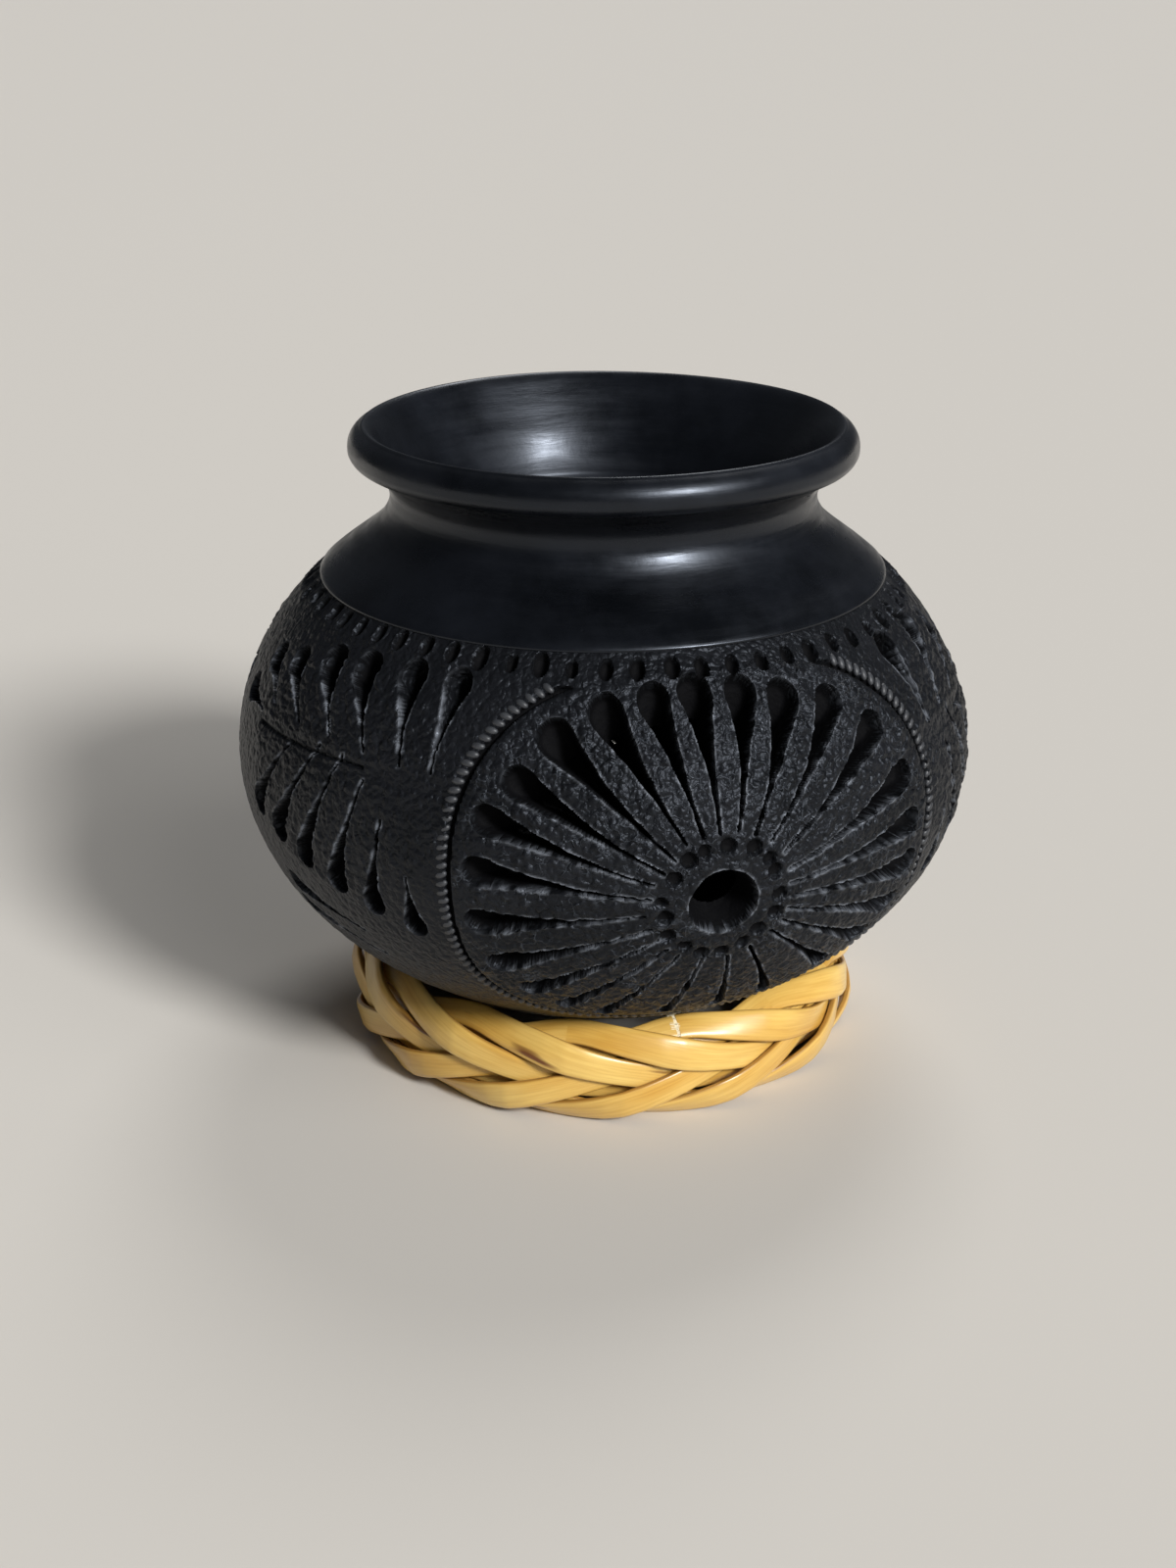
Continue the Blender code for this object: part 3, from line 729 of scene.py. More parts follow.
def groove(window, distance, half_width, deep):
    """Cut a round-bottomed groove where the distance to its line is small."""
    cut = deep * np.clip(1.0 - (distance / half_width) ** 2, 0.0, 1.0) ** GROOVE_POWER
    raise_to(depth, window, cut)


for flower in FLOWERS_ACROSS:
    window, x, y = near((flower, HEART_UP), BORDER_HALF_WIDTH + 3.0)
    distance = np.hypot(x, y) - border_radius(np.arctan2(y, x))
    distance = np.where(y + HEART_UP < BORDER_TOP, distance, FAR_AWAY)
    groove(window, distance, GROOVE_HALF_WIDTH, GROOVE_DEPTH)

# %% The midribs of the leaves
MIDRIB_STARTS = 12.0  # out from the leaf's first slot
MIDRIB_HALF_WIDTH = 0.38
MIDRIB_DEPTH = 0.42
MIDRIB_SWAY = 0.4

for flower in FLOWERS_ACROSS:
    for side, count in LEAVES:
        first = side * (LEAF_START + MIDRIB_STARTS)
        last = side * (LEAF_START + (count - 1) * LEAF_PITCH + TIP_SHIFT - 1.0)
        middle, half = flower + (first + last) / 2, abs(last - first) / 2
        window, x, y = near((middle, MIDRIB_UP), half)
        line = np.where(np.abs(x) < half, y - MIDRIB_SWAY * np.sin(x / 9.0), FAR_AWAY)
        groove(window, line, MIDRIB_HALF_WIDTH, MIDRIB_DEPTH)
print("grooves: round", len(FLOWERS_ACROSS), "flowers and along", 2 * len(LEAVES), "midribs")

# %% [markdown]
# ## The hammered ground
# The ground was roughened with a textured paddle, which left lumps about 2 mm across. They
# come from a cell pattern in space, so they don't stretch where the wall curves. They are
# strongest on the petals and between the leaf's slots, and fade out towards the shoulder
# and the foot. The same numbers say where the edges are painted paler, for wear and as a
# painted highlight, and where the cuts get painted shade. The same numbers say where hands have
# worn the clay.

# %% Lumps, paler edges and painted shade
LUMP_SIZE = 2.0
LUMP_HEIGHT = 0.42
LUMP_BEND = 0.4  # how far the cells' outlines are bent, in cells
UNEVENNESS = 0.25  # of the whole wall, in waves of 16 mm
CALM = 0.35  # the lumps outside flower and leaves, as a share of those inside
LEAF_HALF_HEIGHT = 20.0
CROWN_HEIGHT = 0.12  # a petal stands proud between its cuts by this much
BURR_HEIGHT = 0.06
WEAR_AND_HIGHLIGHT_REACH = 0.17  # how far from a cut's edge the clay is painted paler, for wear and as a painted highlight
WEAR_AND_HIGHLIGHT, WEAR_AND_HIGHLIGHT_PATCHES = 0.55, 1.6  # how much at the edge itself, and how unevenly
ROUND_END_LESS_WEAR_AND_HIGHLIGHT = 0.8  # this share is taken off at the slots' round ends
THREADS = 0.9  # strength of the raised net on the petals
SMOOTH_OVER = SHOULDER_UP - 4.5
SMOOTH_UNDER = -33.0


def lump_at(point):
    """Height of the lumps at a point in space: domes from 0 up to 1, with creases between."""
    bent = point + LUMP_BEND * noise.noise_vector(point * 1.3)
    nearest, second = noise.voronoi(bent)[0][:2]
    return min(1.0, 1.6 * (second - nearest)) ** 0.6


surface = on_wall(across_map, up_map).reshape(-1, 3) / (LUMP_SIZE * MM)
lumps = np.array([lump_at(Vector(point)) for point in surface]).reshape(depth.shape)
soft_noise = clay_noise(16.0, (3.0, 1.0, 2.0))
patchy = clay_noise(1.5, (7.0, 2.0, 5.0))

rough = CALM * np.ones(depth.shape)
petals = np.zeros(depth.shape)
for flower in FLOWERS_ACROSS:
    window, x, y = near((flower, HEART_UP), BORDER_HALF_WIDTH)
    distance = border_radius(np.arctan2(y, x)) - np.hypot(x, y)
    petals[window] = fade(distance, 0.0, 2.0)
    raise_to(rough, window, petals[window])
    for side, count in LEAVES:
        half = (count - 1) * LEAF_PITCH / 2 + 7.0
        middle = flower + side * (LEAF_START + (count - 1) * LEAF_PITCH / 2)
        window, x, y = near((middle, MIDRIB_UP - 2.0), half)
        inside_leaf = fade(-np.hypot(x / half, y / LEAF_HALF_HEIGHT), -1.1, -0.8)
        off_midrib = fade(np.abs(y - 2.0), 0.9, 1.6)
        rough[window] = np.maximum(CALM, np.maximum(rough[window], inside_leaf) * off_midrib)
rough *= 1.0 - 0.85 * fade(up_map, SMOOTH_OVER, SMOOTH_OVER + 3.0)
rough *= fade(up_map, SMOOTH_UNDER - 4.0, SMOOTH_UNDER)
on_top = 1.0 - fade(depth, 0.05, 0.6)

crown = CROWN_HEIGHT * fade(edge, 0.0, 1.0) * rough
burr = BURR_HEIGHT * np.exp(-((edge - 0.1) / 0.2) ** 2) * (1.0 - round_ends)
relief = (LUMP_HEIGHT * lumps * rough + crown + burr) * on_top + UNEVENNESS * soft_noise
depth = np.where(pierced, WALL, np.minimum(depth - relief, WALL))

# Paler edges: partly wear, partly a painted highlight of the light that crisp edges catch, less at
# the slots' round ends.
wear_and_edge_highlight = on_top * np.exp(-(np.maximum(edge, 0.0) / WEAR_AND_HIGHLIGHT_REACH) ** 2)
wear_and_edge_highlight = wear_and_edge_highlight * (WEAR_AND_HIGHLIGHT + WEAR_AND_HIGHLIGHT_PATCHES * patchy) * (1.0 - ROUND_END_LESS_WEAR_AND_HIGHLIGHT * round_ends)
wear_and_edge_highlight = np.clip(wear_and_edge_highlight, 0.0, 1.0)
hammered = THREADS * petals * on_top
# Painted shade in the cuts: darker with depth and inside the outlines, later on the lit bevels.
cut_shade = np.maximum(fade(depth, 0.12, 0.8), fade(-edge, 0.0, 0.22))
cut_shade = (1.0 - facets) * cut_shade + facets * fade(depth, 2.2, 4.2)
print(f"relief from {depth.min():.2f} mm out to {WALL} mm in")

# %% [markdown]
# ## From relief to mesh
#
# The grid becomes six slabs of clay, because one mesh of this fineness would be too large.
# A slab has the carved outside, the smooth inside, and walls between them. Where a point
# was cut right through, the outside and the inside share it, so the sides of every slot
# close onto the inside of the wall without a seam. On the inside, blocks of four cells that
# nothing pierces become one face.

# %% A mesh from numpy arrays
def mesh_from(name, points, faces, values=None):
    """A smooth mesh from points, faces of any size, and named values at the points."""
    used, places = np.unique(np.concatenate(faces), return_inverse=True)
    sizes = np.array([len(face) for face in faces])
    mesh = bpy.data.meshes.new(name)
    mesh.vertices.add(len(used))
    mesh.vertices.foreach_set("co", points[used].astype(np.float32).ravel())
    mesh.loops.add(len(places))
    mesh.loops.foreach_set("vertex_index", places.astype(np.int32))
    mesh.polygons.add(len(sizes))
    starts = np.concatenate([[0], np.cumsum(sizes)[:-1]])
    mesh.polygons.foreach_set("loop_start", starts.astype(np.int32))
    mesh.update(calc_edges=True)
    for key, numbers in (values or {}).items():
        layer = mesh.attributes.new(key, 'FLOAT', 'POINT')
        layer.data.foreach_set("value", numbers[used].astype(np.float32))
    mesh.validate()
    mesh.shade_smooth()
    return mesh


VASE = ("vase", "black_fired_clay", "vase_body")  # the pot's body, slot and CAD node


def finish_piece(name, mesh, materials, body, slot, node):
    """Put a finished piece in the scene, under its body, in place of the CAD part that it hides."""
    for material in materials:
        mesh.materials.append(material)
    piece = bpy.data.objects.new(name, mesh)
    bpy.context.scene.collection.objects.link(piece)
    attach(piece, body)
    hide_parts(node)
    triangles = sum(len(face.vertices) - 2 for face in mesh.polygons)
    print(f"{name}: {triangles} triangles")


# %% The six carved slabs
SLAB_SHARP_EDGE = radians(50.0)
SHADE_MATERIAL_FROM = 0.6  # of the painted shade value, where the painted shade's own material starts

# Round a block of two by two cells: each corner, with the middle of the side after it. The
# middle is a point of the face where the block beyond that side is left in single cells.
RING = (((0, 0), (1, 0)), ((2, 0), (2, 1)), ((2, 2), (1, 2)), ((0, 2), (0, 1)))


def slab_faces(is_pierced):
    """Faces of one slab; outer points come first, then the inner ones of the same grid."""
    rows, columns = is_pierced.shape
    count = rows * columns
    number = np.arange(count).reshape(rows, columns)
    inner = number + count
    outer = np.where(is_pierced, inner, number)
    low, high = slice(None, -1), slice(1, None)
    squares = ((low, low), (low, high), (high, high), (high, low))
    gone = np.all([is_pierced[square] for square in squares], axis=0)
    faces = list(np.stack([outer[square] for square in squares], axis=-1)[~gone])

    open_block = gone.reshape((rows - 1) // 2, 2, (columns - 1) // 2, 2).any(axis=(1, 3))
    fine = np.pad(open_block, 1, constant_values=True)
    for i, j in np.ndindex(open_block.shape):
        r, c = 2 * i, 2 * j
        if open_block[i, j]:
            for a, b in ((r, c), (r, c + 1), (r + 1, c), (r + 1, c + 1)):
                if not gone[a, b]:
                    faces.append(np.array([
                        inner[a, b], inner[a + 1, b], inner[a + 1, b + 1], inner[a, b + 1]]))
            continue
        ring = []
        for corner, middle in RING:
            ring.append(inner[r + corner[0], c + corner[1]])
            if fine[i + middle[0], j + middle[1]]:
                ring.append(inner[r + middle[0], c + middle[1]])
        faces.append(np.array(ring))

    rim = [(outer[0], inner[0]), (outer[:, -1], inner[:, -1]),
           (outer[-1, ::-1], inner[-1, ::-1]), (outer[::-1, 0], inner[::-1, 0])]
    for over, under in rim:
        for k in range(len(over) - 1):
            face = [over[k + 1], over[k], under[k], under[k + 1]]
            face = [p for n, p in enumerate(face) if p != face[n - 1]]
            if len(face) > 2:
                faces.append(np.array(face))
    return faces


outside = on_wall(across_map, up_map, depth)
inside = on_wall(across_map, up_map, WALL)
for sector in range(SECTORS):
    name = f"carved_wall_{sector + 1}"
    columns = np.arange(sector * SECTOR_COLUMNS, (sector + 1) * SECTOR_COLUMNS + 1) % COLUMNS
    points = np.concatenate([skin[:, columns].reshape(-1, 3) for skin in (outside, inside)])
    values = {}
    # Inner points get no paler edges, full painted shade and no net.
    for key, numbers, within in (("wear_and_edge_highlight", wear_and_edge_highlight, 0.0), ("cut_shade", cut_shade, 1.0),
                                 ("hammered", hammered, 0.0)):
        part = numbers[:, columns].ravel()
        values[key] = np.concatenate([part, np.full(part.shape, within)])
    mesh = mesh_from(name, points, slab_faces(pierced[:, columns]), values)
    mesh.set_sharp_from_angle(angle=SLAB_SHARP_EDGE)
    # Faces deep in painted shade get the painted shade's own material.
    deep = np.array([layer.value for layer in mesh.attributes["cut_shade"].data])
    faces = [list(face.vertices) for face in mesh.polygons]
    shaded_faces = [int(deep[face].mean() > SHADE_MATERIAL_FROM) for face in faces]
    mesh.polygons.foreach_set("material_index", shaded_faces)
    finish_piece(name, mesh, (carved, painted_shade), *VASE)

# %% [markdown]
# ## The turned parts
#
# Above the carving, the shoulder, neck and lip are one smooth turned form, and so is the
# underside below it. A turned form is a half section spun about the axis. A Screw modifier
# would do it, but a hand-built pot is never quite round, so the section is spun in numpy,
# with a slow wobble of a fifth of a millimetre that fades out where it meets the carving.

# %% Spin a half section
TURNED_SEGMENTS = COLUMNS // 4
ON_AXIS = 1e-6  # mm, a radius under which a point counts as on the axis


def spin(profile, wobble):
    """Points and faces of a half section spun about Z; its ends on the axis are closed."""
    profile = np.array(profile)
    turn = np.arange(TURNED_SEGMENTS) * 2 * pi / TURNED_SEGMENTS
    radius, height = profile[:, :1] * np.ones_like(turn), profile[:, 1:] * np.ones_like(turn)
    sway = 0.11 * np.sin(2 * turn + 0.6) + 0.07 * np.sin(3 * turn + 2.0 + 0.02 * height)
    radius = radius + wobble[:, None] * sway
    height = height + wobble[:, None] * (0.12 * np.sin(turn + 1.0) + 0.06 * np.sin(4 * turn))
    number = np.arange(radius.size).reshape(radius.shape)
    over = np.roll(number, -1, axis=1)
    faces = []
    for i in range(len(profile) - 1):
        first, second = profile[i:i + 2, 0] < ON_AXIS
        for j in range(TURNED_SEGMENTS):
            if first:
                faces.append(np.array([number[i, 0], over[i + 1, j], number[i + 1, j]]))
            elif second:
                faces.append(np.array([number[i, j], over[i, j], number[i + 1, 0]]))
            else:
                faces.append(np.array([number[i, j], over[i, j], over[i + 1, j], number[i + 1, j]]))
    return turned_to(turn, radius, height).reshape(-1, 3), faces


def finish_turned(name, profile, wobble, material):
    """Spin a half section and finish it as a piece of the pot."""
    mesh = mesh_from(name, *spin(profile, wobble))
    finish_piece(name, mesh, (material,), *VASE)


def arc(centre, radius, start, end, count):
    """Points on a circle of the half section, angles in degrees."""
    turns = np.radians(np.linspace(start, end, count))
    return [(centre[0] + radius * cos(a), centre[1] + radius * sin(a)) for a in turns]


def smooth_curve(points, per_span):
    """A smooth curve through points of the half section."""
    points = np.array(points, dtype=float)
    padded = np.concatenate([[2 * points[0] - points[1]], points, [2 * points[-1] - points[-2]]])
    curve = []
    for a, b, c, d in zip(padded, padded[1:], padded[2:], padded[3:]):
        for t in np.arange(per_span) / per_span:
            curve.append(0.5 * (2 * b + (c - a) * t + (2 * a - 5 * b + 4 * c - d) * t ** 2
                                + (3 * b - a - 3 * c + d) * t ** 3))
    return [tuple(p) for p in curve] + [tuple(points[-1])]


print("turned parts have", TURNED_SEGMENTS, "segments")

# %% [markdown]
# ## Lip, neck and shoulder
#
# The lip is a thick roll that leans out over a hollow neck. Under the neck lies the
# burnished shoulder, which ends in a small step where the carving starts. The section runs
# from under that step up and over the lip, and down inside to meet the inside of the
# carved wall.

# %% Lip, neck and shoulder
NECK_FILLET = 5.0  # sets where the shoulder runs into the neck
NECK_RISE = 3.7
LIP_RISE = 7.3
LIP_HEIGHT = 5.7
LIP_RADIUS = 40.7
LIP_ROUND = 3.4
LIP_UNDER_ROUND = 1.3
MOUTH_RADIUS = 35.3
THROAT_RADIUS = NECK_RADIUS - WALL
SHOULDER_STEP = 0.45
STEP_ROUND = 0.3


def wall_point(latitude, lift):
    """A point of the half section over the body's wall, at a latitude."""
    return tuple(np.ravel(body(latitude, -lift)))


def wall_row(first, last, count, lift):
    """Points of the half section along the body between two latitudes."""
    return [wall_point(latitude, lift) for latitude in np.linspace(first, last, count)]


def round_about(radius, height, *offsets):
    """Points of the half section, given as steps out and up from a radius and a height."""
    return [(radius + out, height + up) for out, up in offsets]


neck_foot = np.arccos((NECK_RADIUS + 0.25 * NECK_FILLET) / BELLY_RADIUS)
neck_height = float(body(neck_foot)[1]) + NECK_RISE
lip_underside = neck_height + LIP_RISE
lip_top = lip_underside + LIP_HEIGHT
band_top = np.interp(BAND_HIGH, MAP_UP, MAP_LATITUDES)
inner_top = wall_point(band_top, -WALL)

under_step = wall_row(SHOULDER_LATITUDE + 0.002, SHOULDER_LATITUDE - 0.004, 2, -STEP_ROUND)
step = smooth_curve([wall_point(SHOULDER_LATITUDE + beyond, lift) for beyond, lift in (
    (-0.004, 0.1), (0.0, 0.75 * SHOULDER_STEP), (0.008, SHOULDER_STEP))], 4)
shoulder = wall_row(SHOULDER_LATITUDE + 0.02, neck_foot - 0.13, 14, SHOULDER_STEP)
neck = smooth_curve([shoulder[-1], *round_about(
    NECK_RADIUS, neck_height, (3.7, -4.2), (1.5, -2.0), (0.2, 0.6), (0.3, 3.0), (1.5, 5.0))], 6)[1:]
lip_under = smooth_curve([
    neck[-1],
    *round_about(LIP_RADIUS, lip_underside, (-2.6, -0.5), (-0.9, 0.2), (-0.1, LIP_UNDER_ROUND)),
    (LIP_RADIUS, lip_top - LIP_ROUND)], 5)
lip = arc((LIP_RADIUS - LIP_ROUND, lip_top - LIP_ROUND), LIP_ROUND, 0.0, 62.0, 10)
flare = smooth_curve([
    lip[-1], (LIP_RADIUS - 2.5, lip_top),
    *round_about(MOUTH_RADIUS, lip_top, (1.9, -0.6), (0.6, -2.2)),
    *round_about(THROAT_RADIUS, lip_top, (4.9, -5.6), (2.6, -9.2)),
    *round_about(THROAT_RADIUS, neck_height, (0.9, 0.3), (0.0, -2.6), (-0.2, -5.0)),
    *round_about(*inner_top, (-5.0, 4.2)), inner_top], 8)
profile = under_step + step + shoulder + neck + lip_under[1:] + lip[1:] + flare[1:]
reach = np.array([point[1] for point in profile])
wobble = fade(reach, body(SHOULDER_LATITUDE)[1] + 0.5, neck_height)
finish_turned("lip_and_shoulder", profile, wobble, burnished)

# %% [markdown]
# ## The underside
#
# The ring hides most of the lower wall. It was rubbed smooth like the lip, and it ends in
# a small flattened foot, a little hollow in the middle so that it stands steady. The floor
# inside gets painted shade: near-black and dull.

# %% Underside and the floor inside
FOOT_HOLLOW = 0.4
FOOT_ROUND = 0.03  # of latitude, in radians

band_low = np.interp(BAND_LOW, MAP_UP, MAP_LATITUDES)
foot_height = float(body(FOOT_LATITUDE)[1])
lower_wall = wall_row(band_low, FOOT_LATITUDE + FOOT_ROUND, 40, 0.0)
hollow = foot_height + FOOT_HOLLOW
foot = smooth_curve([*round_about(
    FOOT_RADIUS, foot_height, (0.2, 0.12), (-1.2, 0.0), (-3.5, 0.0)),
    (0.5 * FOOT_RADIUS, hollow)], 5)
underside = [(0.0, hollow)] + (lower_wall + foot)[::-1]
floor_inside = wall_row(FOOT_LATITUDE, band_low, 40, -WALL)[::-1]
floor_inside.append((0.0, floor_inside[-1][1]))
finish_turned("pot_underside", underside, np.zeros(len(underside)), burnished)
# The floor inside is painted shade.
finish_turned("pot_floor_inside", floor_inside, np.zeros(len(floor_inside)), painted_shade)

# %% [markdown]
# ## The rope border
#
# A rope of small slanting beads frames the flower, pressed with the edge of a tool. Beads
# that follow a path are a job for Geometry Nodes: the tree takes a path, spreads points
# along it, puts a bead on each, turned along the path and leaning with the rope's lay, and
# makes them real. The path's points carry the wall's outward direction for the tree to use.
# With other inputs the same tree makes the slivers of torn cane at the end of this script.

# %% Geometry Nodes: beads along a path
BEAD_PITCH = 1.45
BEAD_LENGTH = 2.2  # across the rope
BEAD_WIDTH = 1.2
BEAD_HEIGHT = 1.1
BEAD_LEAN = radians(24.0)
LEAST, CHANCE = 2, 1  # a Random Value node's sockets for a plain number


def bead_tree(material):
    """A node tree that sets slanting beads, or slivers, along a path."""
    tree = bpy.data.node_groups.new("beads along a path", 'GeometryNodeTree')
    sockets = {}
    for name, kind, default in (("Geometry", 'NodeSocketGeometry', None),
                                ("Pitch", 'NodeSocketFloat', BEAD_PITCH * MM),
                                ("Bead size", 'NodeSocketVector', (1.0, 1.0, 1.0)),
                                ("Lean", 'NodeSocketFloat', BEAD_LEAN),
                                ("Sway", 'NodeSocketFloat', 0.12),
                                ("Seed", 'NodeSocketInt', 5)):
        sockets[name] = tree.interface.new_socket(name, in_out='INPUT', socket_type=kind)
        if default is not None:
            sockets[name].default_value = default
    tree.interface.new_socket("Geometry", in_out='OUTPUT', socket_type='NodeSocketGeometry')
    start = add_node(tree, "NodeGroupInput").outputs
    outward = add_node(tree, "GeometryNodeInputNamedAttribute", {
        "data_type": 'FLOAT_VECTOR'}, {"Name": "outward"}).outputs["Attribute"]
    path = add_node(tree, "GeometryNodeMeshToCurve", inputs={"Mesh": start["Geometry"]})
    places = add_node(tree, "GeometryNodeCurveToPoints", {"mode": 'LENGTH'}, {
        "Curve": path.outputs["Curve"], "Length": start["Pitch"]}).outputs
    bead = add_node(tree, "GeometryNodeMeshIcoSphere", inputs={"Radius": 0.5, "Subdivisions": 2})
    along = add_node(tree, "FunctionNodeAlignRotationToVector", {"axis": 'X'}, {
        "Vector": places["Tangent"]})
    facing = add_node(tree, "FunctionNodeAlignRotationToVector", {
        "axis": 'Z', "pivot_axis": 'X'}, {
        "Rotation": along.outputs["Rotation"], "Vector": outward})
    chance = add_node(tree, "FunctionNodeRandomValue", {"data_type": 'FLOAT'}, {
        LEAST: -1.0, "Seed": start["Seed"]}).outputs[CHANCE]
    lean = add_node(tree, "ShaderNodeMath", {"operation": 'MULTIPLY_ADD'}, {
        0: chance, 1: start["Sway"], 2: start["Lean"]})
    turn = add_node(tree, "FunctionNodeAxisAngleToRotation", inputs={
        "Axis": (0.0, 0.0, 1.0), "Angle": lean.outputs["Value"]})
    turned = add_node(tree, "FunctionNodeRotateRotation", {"rotation_space": 'LOCAL'}, {
        "Rotation": facing.outputs["Rotation"], "Rotate By": turn.outputs["Rotation"]})
    beads = add_node(tree, "GeometryNodeInstanceOnPoints", inputs={
        "Points": places["Points"], "Instance": bead.outputs["Mesh"],
        "Rotation": turned.outputs["Rotation"], "Scale": start["Bead size"]})
    real = add_node(tree, "GeometryNodeRealizeInstances", inputs={
        "Geometry": beads.outputs["Instances"]})
    smooth = add_node(tree, "GeometryNodeSetShadeSmooth", inputs={
        "Geometry": real.outputs["Geometry"]})
    painted = add_node(tree, "GeometryNodeSetMaterial", inputs={
        "Geometry": smooth.outputs["Geometry"], "Material": material})
    add_node(tree, "NodeGroupOutput", inputs={"Geometry": painted.outputs["Geometry"]})
    return tree, sockets


def beads_along(name, path, over, tree, sockets, values):
    """Run the beads' tree on a path; the points over the path tell it which way is out."""
    mesh = bpy.data.meshes.new("path")
    mesh.from_pydata(path.tolist(), [(k, k + 1) for k in range(len(path) - 1)], [])
    mesh.attributes.new("outward", 'FLOAT_VECTOR', 'POINT').data.foreach_set(
        "vector", ((over - path) / MM).astype(np.float32).ravel())
    helper = bpy.data.objects.new(name, mesh)
    bpy.context.scene.collection.objects.link(helper)
    modifier = helper.modifiers.new(name, 'NODES')
    modifier.node_group = tree
    for socket, value in values.items():
        modifier[sockets[socket].identifier] = value
    graph = bpy.context.evaluated_depsgraph_get()
    beads = bpy.data.meshes.new_from_object(helper.evaluated_get(graph))
    bpy.data.objects.remove(helper)
    beads.name = name
    beads.materials.clear()
    return beads


print("bead tree: a bead every", BEAD_PITCH, "mm")

# %% The beads round each flower
BEAD_OUT = 1.15  # from the groove's line out to the beads' line
BEAD_SINK = 0.25  # the beads' middles lie this far under the wall's surface
DEGREES = 360

# Beads stand proud, so hands rub them: a paler grey than the carving, with a satin sheen.
worn_beads, tree, shader = new_material("rubbed_blackware_beads")
grains = noise_at(tree, add_node(tree, "ShaderNodeTexCoord").outputs["Object"], 900.0, 3.0)
set_inputs(tree, shader, {
    "Base Color": toned(tree, grains, 0.0, "#222326", 1.0, "#404246"), "Roughness": 0.48,
    "Normal": bumped(tree, grains, 0.4, 0.1), "IOR": CLAY_IOR})

tree, sockets = bead_tree(worn_beads)
for number, flower in enumerate(FLOWERS_ACROSS, start=1):
    angles = np.linspace(-pi, pi, DEGREES + 1)
    radius = border_radius(angles) + BEAD_OUT
    x, y = radius * np.cos(angles), HEART_UP + radius * np.sin(angles)
    top = int(np.argmax(y))
    order = [k % DEGREES for k in range(top, top + DEGREES + 1)]
    keep = [k for k in order if y[k] < BORDER_TOP]
    path, over = [on_wall(flower + x[keep], y[keep], sink) for sink in (
        BEAD_SINK, BEAD_SINK - 1.0)]
    beads = beads_along(f"rope_border_{number}", path, over, tree, sockets, {
        "Pitch": BEAD_PITCH * MM, "Lean": BEAD_LEAN, "Seed": number,
        "Bead size": (BEAD_WIDTH * MM, BEAD_LENGTH * MM, BEAD_HEIGHT * MM)})
    finish_piece(f"rope_border_{number}", beads, (worn_beads,), *VASE)

# %% [markdown]
# ## Split cane
#
# Split cane is the glossy outer skin of rattan, shaved to a flat strip. It is straw yellow
# turned golden with varnish, with fine grain along its length, a satin shine, and brown
# flecks where leaf scars were. The grain follows the strip through its UV map: u runs along
# it and v across it, both in centimetres, so the scales below are real.

# %% Material: split cane
FIBRES = (0.35, 9.0, 1.0)  # scales along and across the strip: long, thin fibres,
PATCHES = (0.4, 1.6, 1.0)  # broad patches of a paler or a darker gold,
FLECKS = (0.45, 2.6, 1.0)  # and a brown fleck here and there

cane, tree, shader = new_material("varnished_split_cane")
strip = add_node(tree, "ShaderNodeUVMap", {"uv_map": "strip"}).outputs["UV"]
fibres = noise_at(tree, stretched(tree, strip, FIBRES), 3.0, 5.0, 0.6)
patches = noise_at(tree, stretched(tree, strip, PATCHES), 1.0, 3.0)
flecks = noise_at(tree, stretched(tree, strip, FLECKS), 1.3)
gold = toned(tree, patches, 0.32, "#cf9f45", 0.68, "#e8c570")
lines = toned(tree, mapped(tree, fibres, 0.35, 0.62), 0.0, "#d3b98c", 1.0, "#ffffff")
grained = mixed(tree, 0.35, gold, lines, 'MULTIPLY')
spotted = mixed(tree, mapped(tree, flecks, 0.66, 0.74), grained, linear("#6b3d17"))
set_inputs(tree, shader, {
    # Darker brown at the strips' edges: painted shade of the gaps between the strips.
    "Base Color": mixed(tree, own_value(tree, "edge_shade"), spotted, linear("#8a5a22")),
    "Normal": bumped(tree, fibres, 0.2, 0.08), "Roughness": 0.34, "IOR": 1.5,
    "Coat Weight": 0.35, "Coat Roughness": 0.22})
print("split cane: grain lines about 0.4 mm apart, roughness 0.34")

# %% [markdown]
# ## The plait
#
# Seven strips make a flat plait, closed on itself and curled into a C section. Each strip
# runs slantwise from the top edge to the bottom edge over three others, turns, and runs
# back behind three. The path of every strip follows one rule, so a loop makes all seven:
# the height in the plait falls by one level at each crossing, and the distance from the
# middle surface follows a table over half a cycle. The CAD strips follow the same rule with
# flat facets; these have rounded edges, a crowned skin and slightly uneven widths.

# %% The rule of the plait
STRIPS = 7
TURNS_PER_ROUND = 2
LAYER = 1.3  # from the middle of one strip to that of the one over it
PLAIT_REACH = 8.4  # from the plait's middle to the edges' turns
LEVEL = PLAIT_REACH / (STRIPS / 2)
RING_RADIUS = 41.2
SECTION_STRAIGHT = 2.3  # half height of the straight part of the C
SECTION_ROUND = 5.6  # and the radius of its bends
RING_CENTRE_HEIGHT = 8.0
FIRST_TURN = radians(-8.4)
CROSSINGS_ROUND = 2 * STRIPS * TURNS_PER_ROUND
STAND_OFF_AT = (0.0, 1.0, 2.0, 3.5, 5.0, 6.0, 7.0)  # crossings after a turn
STAND_OFF = (0.0, 0.5, 1.5, 0.0, -1.5, -0.5, 0.0)  # layers out from the middle
SOFTENING = 0.35  # of a crossing, over which the bends are rounded


